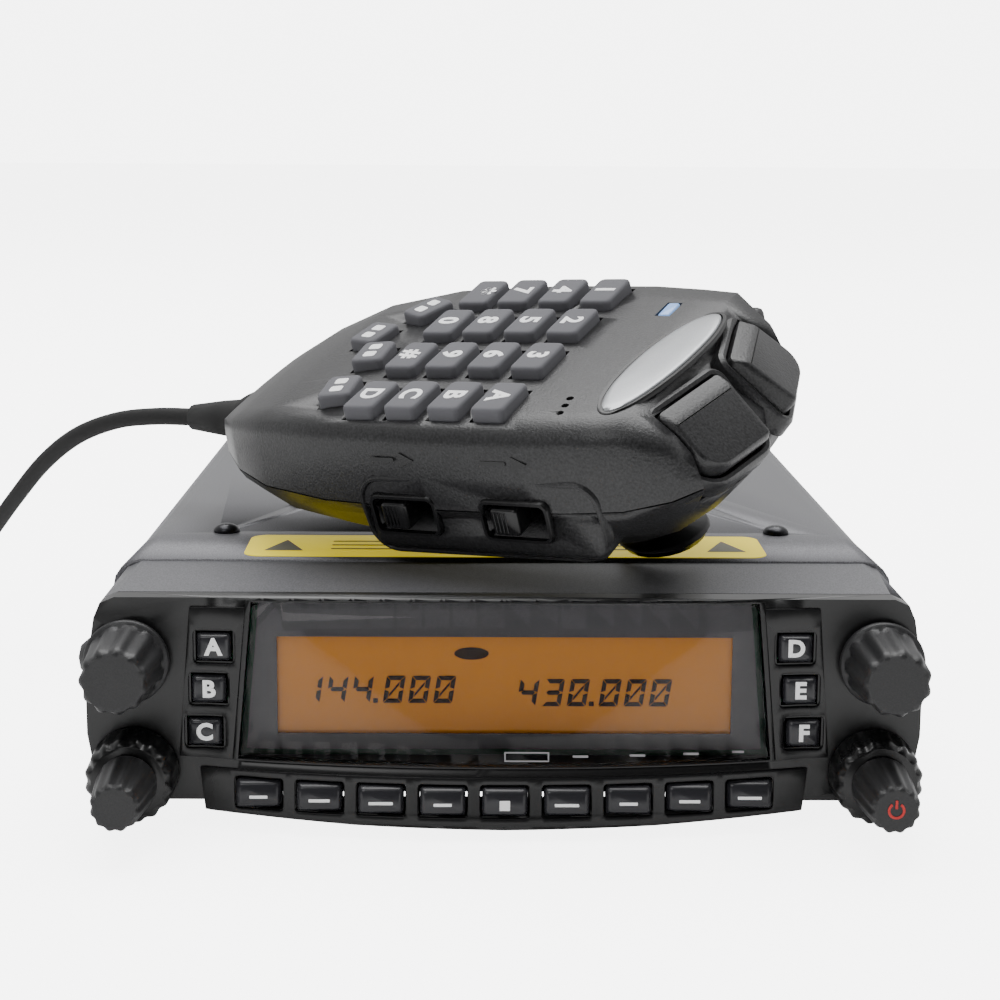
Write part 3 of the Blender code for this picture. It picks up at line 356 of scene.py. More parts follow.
# The white print also glows a little: painted light, as the print is no lamp.
GLOWING_WHITE_PRINT = Glow("white_print", (0.9, 0.9, 0.9), (0.9, 0.9, 0.9), 0.3, 0.5, slot="key_plastic")
GREY_PRINT = Finish(
    "grey_print", (0.3, 0.3, 0.31), (0.36, 0.36, 0.37), 0.5, grain=4000, bump=0, wear=0,
    slot="key_plastic",
)
RED_PRINT = Finish(
    "red_print", (0.55, 0.012, 0.01), (0.65, 0.02, 0.015), 0.45, grain=4000, bump=0, wear=0,
    slot="knob_rubber",
)
AMBER_DISPLAY = SlotFinish("amber_display")
DISPLAY_SEGMENT = Glow("display_segment", (0.030, 0.011, 0.002), (0.035, 0.013, 0.002), slot="amber_display")
BLUE_LENS = Glow("blue_status_lens", (0.22, 0.42, 0.85), (0.3, 0.5, 0.9), 0.35, 0.15, slot="blue_lens")
SMOKED_WINDOW = Clear("smoked_window", (0.75, 0.74, 0.75), 0.0, coat=0.35, slot="window")
PLUG_PLASTIC = SlotFinish("plug_plastic")
AnyFinish = Finish | Glow | Clear | SlotFinish


# Making pieces


def settle(obj: Piece, finish: AnyFinish, body: str, sharp: float = 32.0) -> Piece:
    """Shades, finishes and mounts a piece.

    Args:
        obj: The piece, with its place in its mesh.
        finish: What it is made of.
        body: The body that it rides on.
        sharp: Edges that turn more than this many degrees stay crisp.

    Returns:
        The same piece.
    """
    if obj.type == "MESH":
        obj.data.shade_smooth()
        obj.data.set_sharp_from_angle(angle=radians(sharp))
    obj.data.materials.clear()
    obj.data.materials.append(finish.material())
    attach(obj, body)
    LOG.info("%s rides on %s", obj.name, body)
    return obj


def link_mesh(name: str, mesh: bpy.types.Mesh) -> Piece:
    """Puts a mesh into the scene as an object at the origin."""
    obj = bpy.data.objects.new(name, mesh)
    bpy.context.scene.collection.objects.link(obj)
    return obj


def metres(points: Iterable[Sequence[float]]) -> list[tuple[float, ...]]:
    """Points given in millimetres, in metres."""
    return [tuple(value * MM for value in point) for point in points]


def outward(x: float, y: float, z: float) -> Matrix:
    """A place whose Z points out of the radio's front and whose Y points up."""
    return Matrix.Translation((x, y, z)) @ Matrix.Rotation(pi / 2, 4, "X")


def close(name: str, shape: bmesh.types.BMesh, place: Matrix | None = None) -> Piece:
    """Turns a bmesh into an object with its faces outwards.

    Args:
        name: The piece's name.
        shape: The bmesh, which is freed.
        place: Where the shape goes.

    Returns:
        The new object.
    """
    if place is not None:
        bmesh.ops.transform(shape, matrix=place, verts=shape.verts)
    bmesh.ops.recalc_face_normals(shape, faces=shape.faces)
    mesh = bpy.data.meshes.new(name)
    shape.to_mesh(mesh)
    shape.free()
    return link_mesh(name, mesh)


def smoothed(node: str, name: str, finish: AnyFinish, body: str, sharp: float = 32.0) -> Piece:
    """A merged copy of a node's mesh that takes smooth shading, in place of the node."""
    shape = bmesh.new()
    shape.from_mesh(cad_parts[node].data)
    bmesh.ops.remove_doubles(shape, verts=shape.verts, dist=0.002 * MM)
    mesh = bpy.data.meshes.new(name)
    shape.to_mesh(mesh)
    shape.free()
    obj = settle(link_mesh(name, mesh), finish, body, sharp)
    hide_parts(node)
    return obj


def refinish(finish: AnyFinish, *nodes: str) -> None:
    """Gives nodes that keep their own mesh a finish."""
    for node in nodes:
        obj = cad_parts[node]
        obj.data.materials.clear()
        obj.data.materials.append(finish.material())


def skin(shape: bmesh.types.BMesh, rings: Rings, caps: bool = True) -> None:
    """Joins closed rings of equal point counts into a solid inside a bmesh."""
    made = [[shape.verts.new(point) for point in ring] for ring in rings]
    count = len(made[0])
    for near, far in zip(made, made[1:]):
        for i in range(count):
            j = (i + 1) % count
            shape.faces.new((near[i], near[j], far[j], far[i]))
    if caps:
        shape.faces.new(made[0])
        shape.faces.new(made[-1])


def loft(
    name: str, rings: Rings, place: Matrix | None = None, hollow: bool = False
) -> Piece:
    """A solid skinned over rings.

    Args:
        name: The piece's name.
        rings: Closed rings of equal point counts.
        place: Where the shape goes.
        hollow: Whether the last ring joins the first one, instead of a cap at each end.

    Returns:
        The new object.
    """
    shape = bmesh.new()
    if hollow:
        skin(shape, [*rings, rings[0]], caps=False)
        bmesh.ops.remove_doubles(shape, verts=shape.verts, dist=WELD)
    else:
        skin(shape, rings)
    return close(name, shape, place)


def revolve(name: str, profile: Sequence[Point], place: Matrix, steps: int = 64) -> Piece:
    """A turned solid: profile is (radius, height) pairs from the axis round to the axis."""
    turns = [2 * pi * i / steps for i in range(steps)]
    rings = [[(r * cos(a), r * sin(a), height) for a in turns] for r, height in profile[1:-1]]
    return loft(name, rings, place)


def rounded(width: float, height: float, corner: float, steps: int = 4) -> list[Point]:
    """The outline of a rectangle with round corners, about its middle."""
    points = []
    for i, (sx, sy) in enumerate(((1, 1), (-1, 1), (-1, -1), (1, -1))):
        for j in range(steps + 1):
            angle = pi / 2 * (i + j / steps)
            x = sx * (width / 2 - corner) + corner * cos(angle)
            points.append((x, sy * (height / 2 - corner) + corner * sin(angle)))
    return points


def oval(half_width: float, half_height: float, steps: int = 40) -> list[Point]:
    """The outline of an ellipse about its middle."""
    turns = [2 * pi * i / steps for i in range(steps)]
    return [(half_width * cos(a), half_height * sin(a)) for a in turns]


def lettering(name: str, text: str, size: float, place: Matrix, bold: float = 0.0) -> Piece:
    """Raised print made from text, centred on its place and facing its Z.

    Args:
        name: The piece's name.
        text: The characters.
        size: The height of a line.
        place: Where the middle goes.
        bold: How much the strokes swell.

    Returns:
        A mesh object.
    """
    curve = bpy.data.curves.new(name, "FONT")
    curve.body = text
    curve.size = size
    curve.extrude = 0.03 * MM
    curve.offset = bold
    curve.align_x, curve.align_y = "CENTER", "CENTER"
    curve.resolution_u = 4
    helper = bpy.data.objects.new(name, curve)
    bpy.context.scene.collection.objects.link(helper)
    graph = bpy.context.evaluated_depsgraph_get()
    mesh = bpy.data.meshes.new_from_object(helper.evaluated_get(graph))
    bpy.data.objects.remove(helper, do_unlink=True)
    mesh.transform(place)
    mesh.name = name
    return link_mesh(name, mesh)


def add_prism(
    shape: bmesh.types.BMesh, outline: Sequence[Point], low: float, high: float, place: Matrix
) -> None:
    """Adds an upright prism of an outline, turned by place, to a bmesh."""
    rings = [[place @ Vector((x, y, z)) for x, y in outline] for z in (low, high)]
    skin(shape, rings)


def prisms(name: str, items: Iterable[tuple[Sequence[Point], float, float, Matrix]]) -> Piece:
    """One object made of several prisms, each an outline, a low and high end, and a place."""
    shape = bmesh.new()
    for outline, low, high, place in items:
        add_prism(shape, outline, low, high, place)
    return close(name, shape)


def bevelled(obj: Piece, width: float, segments: int = 2, angle: float = 40.0) -> Piece:
    """Rounds a piece's crisp edges and applies the result to its mesh."""
    bevel = obj.modifiers.new("rounded_edges", "BEVEL")
    bevel.width = width
    bevel.segments = segments
    bevel.limit_method = "ANGLE"
    bevel.angle_limit = radians(angle)
    return applied(obj)


def applied(obj: Piece) -> Piece:
    """Bakes a piece's modifiers into its mesh."""
    graph = bpy.context.evaluated_depsgraph_get()
    mesh = bpy.data.meshes.new_from_object(obj.evaluated_get(graph))
    obj.modifiers.clear()
    obj.data = mesh
    return obj


# Geometry Nodes


class Rule(Enum):
    """The kinds of repeated detail that a tree makes."""

    FLUTES = "flutes"
    SCREWS = "screws"
    RIBS = "ribs"


def open_tree(rule: Rule, sizes: dict[str, tuple[str, float]]) -> tuple[Tree, bpy.types.Node]:
    """Starts a Geometry Nodes tree with a mesh in and out, its sizes and a finish.

    Args:
        rule: What the tree makes.
        sizes: The socket type and first value of each named input.

    Returns:
        The tree and its input node.
    """
    group = bpy.data.node_groups.new(rule.value, "GeometryNodeTree")
    group.interface.new_socket(name="Mesh", in_out="INPUT", socket_type="NodeSocketGeometry")
    for label, (kind, value) in sizes.items():
        socket = group.interface.new_socket(name=label, in_out="INPUT", socket_type=kind)
        socket.default_value = value
    group.interface.new_socket(name="Finish", in_out="INPUT", socket_type="NodeSocketMaterial")
    group.interface.new_socket(name="Mesh", in_out="OUTPUT", socket_type="NodeSocketGeometry")
    tree = Tree(group)
    return tree, tree.add("NodeGroupInput")


def end_tree(tree: Tree, start: bpy.types.Node, result: Socket) -> bpy.types.NodeTree:
    """Ends a tree in Realize Instances and Set Material."""
    real = tree.add("GeometryNodeRealizeInstances", {0: result}).outputs[0]
    inputs = {"Geometry": real, "Material": start.outputs["Finish"]}
    tree.add("NodeGroupOutput", {0: tree.add("GeometryNodeSetMaterial", inputs).outputs[0]})
    return tree.tree


def flute_tree() -> bpy.types.NodeTree:
    """Shallow flutes round a turned mesh, between two heights."""
    number = "NodeSocketFloat"
    sizes = {
        "Count": (number, 12.0), "Depth": (number, 0.0003), "From": (number, 0.0), "To": (number, 0.01),
    }
    tree, start = open_tree(Rule.FLUTES, sizes)
    at = tree.add("GeometryNodeInputPosition").outputs[0]
    x, y, z = tree.add("ShaderNodeSeparateXYZ", {0: at}).outputs
    turn = tree.math("MULTIPLY", tree.math("ARCTAN2", y, x), start.outputs["Count"])
    wave = tree.math("MULTIPLY_ADD", tree.math("COSINE", turn), 0.5, 0.5)
    above = tree.math("GREATER_THAN", z, start.outputs["From"])
    below = tree.math("LESS_THAN", z, start.outputs["To"])
    depth = tree.math("MULTIPLY", tree.math("MULTIPLY", above, below), start.outputs["Depth"])
    flat = tree.add("ShaderNodeCombineXYZ", {0: x, 1: y}).outputs[0]
    radius = tree.vector("NORMALIZE", {0: flat})
    inward = tree.math("MULTIPLY", tree.math("MULTIPLY", wave, depth), -1.0)
    shift = tree.vector("SCALE", {0: radius.outputs[0], "Scale": inward}).outputs[0]
    inputs = {"Geometry": start.outputs["Mesh"], "Offset": shift}
    return end_tree(tree, start, tree.add("GeometryNodeSetPosition", inputs).outputs[0])


def screw_tree() -> bpy.types.NodeTree:
    """Domed cross-head screws, one on each point of a mesh."""
    sizes = {"Radius": ("NodeSocketFloat", 0.0025), "Rise": ("NodeSocketFloat", 0.0014)}
    tree, start = open_tree(Rule.SCREWS, sizes)
    radius, rise = start.outputs["Radius"], start.outputs["Rise"]
    fineness = {"Segments": 28, "Rings": 14, "Radius": radius}
    ball = tree.add("GeometryNodeMeshUVSphere", fineness).outputs[0]
    squash = tree.math("DIVIDE", rise, radius)
    flat = tree.add("ShaderNodeCombineXYZ", {0: 1.0, 1: 1.0, 2: squash}).outputs[0]
    dome = tree.add("GeometryNodeTransform", {"Geometry": ball, "Scale": flat}).outputs[0]
    bars = []
    for long, wide in ((1.1, 0.26), (0.26, 1.1)):
        x, y = (tree.math("MULTIPLY", radius, value) for value in (long, wide))
        size = tree.add("ShaderNodeCombineXYZ", {0: x, 1: y, 2: rise}).outputs[0]
        bars.append(tree.add("GeometryNodeMeshCube", {"Size": size}).outputs[0])
    cross = tree.add("GeometryNodeJoinGeometry")
    for bar in bars:
        tree.tree.links.new(bar, cross.inputs[0])
    up = tree.add("ShaderNodeCombineXYZ", {2: tree.math("MULTIPLY", rise, 1.05)}).outputs[0]
    inputs = {"Geometry": cross.outputs[0], "Translation": up}
    raised = tree.add("GeometryNodeTransform", inputs).outputs[0]
    cut = tree.add("GeometryNodeMeshBoolean", {0: dome, 1: raised}, operation="DIFFERENCE")
    inputs = {"Points": start.outputs["Mesh"], "Instance": cut.outputs[0]}
    return end_tree(tree, start, tree.add("GeometryNodeInstanceOnPoints", inputs).outputs[0])


def rib_tree() -> bpy.types.NodeTree:
    """A row of equal bars that starts at each point of a mesh and runs along X."""
    vector = "NodeSocketVector"
    sizes = {
        "Count": ("NodeSocketInt", 4),
        "Pitch": ("NodeSocketFloat", 0.0006),
        "Bar": (vector, (0.0003, 0.0003, 0.004)),
    }
    tree, start = open_tree(Rule.RIBS, sizes)
    step = tree.add("ShaderNodeCombineXYZ", {0: start.outputs["Pitch"]}).outputs[0]
    inputs = {"Count": start.outputs["Count"], "Offset": step}
    row = tree.add("GeometryNodeMeshLine", inputs).outputs[0]
    bar = tree.add("GeometryNodeMeshCube", {"Size": start.outputs["Bar"]}).outputs[0]
    bars = tree.add("GeometryNodeInstanceOnPoints", {"Points": row, "Instance": bar}).outputs[0]
    inputs = {"Points": start.outputs["Mesh"], "Instance": bars}
    return end_tree(tree, start, tree.add("GeometryNodeInstanceOnPoints", inputs).outputs[0])


TREES: dict[Rule, Callable[[], bpy.types.NodeTree]] = {
    Rule.FLUTES: flute_tree,
    Rule.SCREWS: screw_tree,
    Rule.RIBS: rib_tree,
}


def repeated(
    obj: Piece, rule: Rule, finish: AnyFinish, place: Matrix, **sizes: object
) -> Piece:
    """Runs a tree on a mesh and keeps the result as a plain mesh.

    Args:
        obj: The mesh that the tree starts from.
        rule: The tree to run.
        finish: The finish that the tree sets.
        place: Where the result goes.
        sizes: Values of the tree's inputs, with _ for a space.

    Returns:
        The same object with its new mesh.
    """
    tree = bpy.data.node_groups.get(rule.value) or TREES[rule]()
    modifier = obj.modifiers.new(rule.value, "NODES")
    modifier.node_group = tree
    values = {name.replace("_", " "): value for name, value in sizes.items()}
    values["Finish"] = finish.material()
    for item in tree.interface.items_tree:
        if item.in_out == "INPUT" and item.name in values:
            modifier[item.identifier] = values[item.name]
    applied(obj)
    obj.data.transform(place)
    return obj


def points_object(name: str, points: Iterable[Sequence[float]]) -> Piece:
    """An object of loose points for a tree to start from."""
    mesh = bpy.data.meshes.new(name)
    mesh.from_pydata([tuple(point) for point in points], [], [])
    return link_mesh(name, mesh)


# Studio


@dataclass
class Studio:
    """Pale floor, soft lights and the camera."""

    camera_at: tuple[float, float, float] = (-0.0053, -0.4149, 0.1161)
    yaw: float = 0.74
    pitch: float = 10.3
    roll: float = -0.37
    lens: float = 73.8

    def place_camera(self) -> None:
        """Puts the camera in front of the control head and a little above it."""
        yaw, pitch, roll = radians(self.yaw), radians(self.pitch), radians(self.roll)
        ahead = Vector((sin(yaw) * cos(pitch), cos(yaw) * cos(pitch), -sin(pitch)))
        level = Vector((cos(yaw), -sin(yaw), 0.0))
        down = ahead.cross(level)
        right = cos(roll) * level + sin(roll) * down
        down = -sin(roll) * level + cos(roll) * down
        camera = bpy.data.cameras.new("camera")
        camera.lens = self.lens
        camera.sensor_width = 36.0
        camera.clip_start = 0.01
        obj = bpy.data.objects.new("camera", camera)
        turn = Matrix((right, -down, -ahead)).transposed()
        obj.matrix_world = Matrix.Translation(self.camera_at) @ turn.to_4x4()
        bpy.context.scene.collection.objects.link(obj)
        bpy.context.scene.camera = obj

    def softbox(self, name: str, at: Spot, aim: Spot, size: float, power: float) -> None:
        """Adds a square area light that faces a point."""
        light = bpy.data.lights.new(name, "AREA")
        light.size = size
        light.energy = power
        obj = bpy.data.objects.new(name, light)
        obj.location = at
        obj.rotation_euler = (Vector(aim) - Vector(at)).to_track_quat("-Z", "Y").to_euler()
        bpy.context.scene.collection.objects.link(obj)

    def build(self) -> None:
        """Makes the floor, the lights and the camera."""
        shape = bmesh.new()
        bmesh.ops.create_grid(shape, x_segments=2, y_segments=2, size=6.0)
        floor = close("floor", shape, Matrix.Translation((0, 0, -0.0002)))
        paper = bpy.data.materials.new("pale_floor")
        paper.use_nodes = True
        shader = paper.node_tree.nodes["Principled BSDF"]
        shader.inputs["Base Color"].default_value = (0.93, 0.93, 0.93, 1.0)
        shader.inputs["Roughness"].default_value = 0.9
        shader.inputs["Emission Color"].default_value = (1.0, 1.0, 1.0, 1.0)
        tree = Tree(paper.node_tree)
        seen = tree.add("ShaderNodeLightPath").outputs["Is Camera Ray"]
        paper.node_tree.links.new(tree.spread(seen, 0.1, 5.0), shader.inputs["Emission Strength"])
        floor.data.materials.append(paper)
        self.room()
        self.softbox("top_light", (0.0, 0.3, 1.3), (0, 0, 0), 1.3, 26.0)
        self.softbox("front_light", (-0.6, -1.2, 1.2), (0, 0, 0.03), 0.8, 6.0)
        self.place_camera()

    def room(self) -> None:
        """A white room that is dim on the side in front of the object, and white to the camera."""
        world = bpy.data.worlds.new("studio")
        world.use_nodes = True
        tree = Tree(world.node_tree)
        ahead = tree.add("ShaderNodeTexCoord").outputs["Generated"]
        y = tree.add("ShaderNodeSeparateXYZ", {0: ahead}).outputs[1]
        light = tree.add("ShaderNodeMapRange", {0: y, 1: -0.7, 2: 0.15, 3: 0.03, 4: 0.8}).outputs[0]
        seen = tree.add("ShaderNodeLightPath").outputs["Is Camera Ray"]
        strength = tree.add("ShaderNodeMix", {0: seen, 2: light, 3: 6.0}).outputs[0]
        background = world.node_tree.nodes["Background"]
        background.inputs["Color"].default_value = (1.0, 1.0, 1.0, 1.0)
        world.node_tree.links.new(strength, background.inputs["Strength"])
        bpy.context.scene.world = world


# Microphone cord


@dataclass
class MicrophoneCord:
    """The cord from the handset: straight tail, curly stretch, short tail and plug."""

    radius: float = 1.8 * MM
    coil_radius: float = 3.7 * MM
    coil_middle: Point = (-168.0 * MM, 42.0 * MM)
    coil_half: Point = (38.0 * MM, 62.0 * MM)
    coil_height: float = 6.0 * MM
    coil_start: float = 58.0
    coil_end: float = 328.0
    coil_steps: int = 600
    turns: int = 60
    turn_points: int = 16
    exit: tuple[float, float, float] = (-62.1 * MM, -3.3 * MM, 58.1 * MM)
    tail: tuple[Spot, ...] = (
        (-62.1, -3.3, 58.1), (-70.5, 1.7, 57.5), (-79.5, 7.1, 55.8), (-89.0, 13.6, 51.6),
        (-98.0, 21.8, 44.4), (-107.0, 32.2, 34.4), (-116.2, 44.6, 23.6), (-125.6, 58.6, 14.6),
        (-133.8, 73.0, 8.8), (-140.6, 85.6, 6.5), (-147.5, 94.2, 6.0),
    )
    plug_tail: tuple[Spot, ...] = (
        (-135.4, 9.7, 6.0), (-133.6, 16.0, 5.2), (-133.6, 23.8, 3.6), (-137.2, 31.2, 2.4),
        (-144.0, 36.6, 2.2), (-151.2, 40.8, 2.4), (-157.4, 45.6, 3.4), (-163.0, 51.0, 3.9),
    )
    plug_size: tuple[float, float, float] = (21.0 * MM, 11.6 * MM, 7.6 * MM)

    def smooth(self, route: Sequence[Vector], steps: int = 6) -> list[Vector]:
        """Points on a smooth curve through a route's own points."""
        ends = [2 * route[0] - route[1], *route, 2 * route[-1] - route[-2]]
        points = []
        for a, b, c, d in zip(ends, ends[1:], ends[2:], ends[3:]):
            square, cube = 2 * a - 5 * b + 4 * c - d, 3 * b - a - 3 * c + d
            for i in range(steps):
                t = i / steps
                points.append(b + 0.5 * ((c - a) * t + square * t**2 + cube * t**3))
        return [*points, route[-1]]

    def coil_axis(self, angle: float) -> Vector:
        """A point of the curly stretch's middle line."""
        x, y = self.coil_middle
        wide, long = self.coil_half
        return Vector((x + wide * cos(angle), y + long * sin(angle), self.coil_height))

    def curl(self) -> list[Vector]:
        """The wire of the curly stretch, which winds on at its start and off at its end."""
        start, end = radians(self.coil_start), radians(self.coil_end)
        step = (end - start) / self.coil_steps
        dense = [self.coil_axis(start + step * i) for i in range(self.coil_steps + 1)]
        lengths = [0.0]
        for a, b in zip(dense, dense[1:]):
            lengths.append(lengths[-1] + (b - a).length)
        count = self.turns * self.turn_points
        points, at = [], 0
        for i in range(count + 1):
            wanted = lengths[-1] * i / count
            while at < len(dense) - 2 and lengths[at + 1] < wanted:
                at += 1
            part = (wanted - lengths[at]) / (lengths[at + 1] - lengths[at])
            middle = dense[at].lerp(dense[at + 1], part)
            along = (dense[at + 1] - dense[at]).normalized()
            side = along.cross(Vector((0, 0, 1)))
            turn = 2 * pi * i / self.turn_points
            grow = min(1.0, i / self.turn_points, (count - i) / self.turn_points)
            around = side * cos(turn) + Vector((0, 0, 1)) * sin(turn)
            points.append(middle + around * self.coil_radius * grow)
        return points

    def build(self) -> None:
        tail = self.smooth([Vector(point) * MM for point in self.tail])
        end = self.smooth([Vector(point) * MM for point in self.plug_tail])
        points = tail + self.curl()[1:] + end
        curve = bpy.data.curves.new("microphone_cord", "CURVE")
        curve.dimensions = "3D"
        curve.bevel_depth = self.radius
        curve.bevel_resolution = 3
        curve.use_fill_caps = True
        spline = curve.splines.new("POLY")
        spline.points.add(len(points) - 1)
        for place, point in zip(spline.points, points):
            place.co = (*point, 1.0)
        cord = bpy.data.objects.new("microphone_cord", curve)
        bpy.context.scene.collection.objects.link(cord)
        settle(cord, CORD_RUBBER, "handset")
        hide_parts("cord_tail", "cord_coil", "plug_tail")
        pieces = self.plug(end)

    def plug(self, route: Sequence[Vector]) -> list[Piece]:
        """The modular plug: a clear body with a latch, and its contacts."""
        long, wide, high = self.plug_size
        along = (route[-1] - Vector(self.plug_tail[-2]) * MM).normalized()
        place = Matrix.Translation(route[-1] + along * 0.3 * MM)
        place = place @ Matrix.Rotation(atan2(along.y, along.x), 4, "Z")
        shape = bmesh.new()
        rings = []
        far = long / MM
        steps = ((0.2, 1.6), (1.2, 0.6), (9.0, 0.2), (10.0, 0.0), (far - 0.8, 0.0), (far, 0.5))
        for x, shrink in steps:
            outline = rounded(wide - shrink * MM, high * 0.82 - shrink * 0.8 * MM, 0.6 * MM)
            rings.append([(x * MM, a, b - high * 0.08) for a, b in outline])
        skin(shape, rings)
        latch = [(20.2, 2.0), (19.0, 2.9), (7.0, 3.7), (6.4, 3.5), (6.4, 2.9), (18.0, 2.0)]
        skin(shape, [[(x * MM, side * MM, z * MM) for x, z in latch] for side in (-1.7, 1.7)])
        body = settle(close("modular_plug_body", shape, place), PLUG_PLASTIC, "handset")
        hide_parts("cord_plug")
        start = points_object("modular_plug_contacts", [(0, 0, 0)])
        down = Matrix.Translation((17.5 * MM, -3.57 * MM, -3.42 * MM))
        down = down @ Matrix.Rotation(pi / 2, 4, "Z")
        bars = repeated(
            start, Rule.RIBS, GOLD, place @ down,
            Count=8, Pitch=1.02 * MM, Bar=(0.35 * MM, 5.0 * MM, 0.5 * MM),
        )
        return [body, settle(bars, GOLD, "handset")]


# Control head


@dataclass
class HeadFace:
    """The curved front of the control head, which stands out most at its lower lip."""

    flat_y: float = -84.0 * MM
    bulge: float = 7.0 * MM
    half_width: float = 50.0 * MM
    top: float = 39.4 * MM
    lip: float = 1.6 * MM

    def y(self, x: float, z: float) -> float:
        """Where the face is at (x, z)."""
        across = max(0.0, 1 - (x / self.half_width) ** 2)
        down = min(1.0, max(0.0, (self.top - z) / (self.top - self.lip))) ** 0.8
        return self.flat_y - self.bulge * across * (0.06 + 0.94 * down)

    def frame_at(self, x: float, z: float, proud: float) -> Matrix:
        """A place in front of the face, square to the front, whose Z points out and Y up."""
        return outward(x, self.y(x, z) - proud, z)

    def plate(
        self, name: str, outline: Sequence[Point], holes: Sequence[Sequence[Point]], proud: float,
        thick: float,
    ) -> Piece:
        """A plate with holes that follows the face.

        Args:
            name: The piece's name.
            outline: Its corners in X and Z.
            holes: The corners of each hole.
            proud: How far its front stands out of the face.
            thick: Its thickness.

        Returns:
            The new object.
        """
        shape = bmesh.new()
        for loop in (outline, *holes):
            made = []
            for (x0, z0), (x1, z1) in zip(loop, [*loop[1:], loop[0]]):
                parts = max(1, round(hypot(x1 - x0, z1 - z0) / (2.5 * MM)))
                for i in range(parts):
                    t = i / parts
                    made.append(shape.verts.new((x0 + (x1 - x0) * t, 0.0, z0 + (z1 - z0) * t)))
            for a, b in zip(made, [*made[1:], made[0]]):
                shape.edges.new((a, b))
        bmesh.ops.triangle_fill(shape, edges=shape.edges, use_beauty=True, normal=(0, -1, 0))
        back = bmesh.ops.extrude_face_region(shape, geom=shape.faces[:])["geom"]
        moved = {item for item in back if isinstance(item, bmesh.types.BMVert)}
        for vert in shape.verts:
            depth = self.y(vert.co.x, vert.co.z) - proud
            vert.co.y = depth if vert in moved else depth + thick
        return close(name, shape)


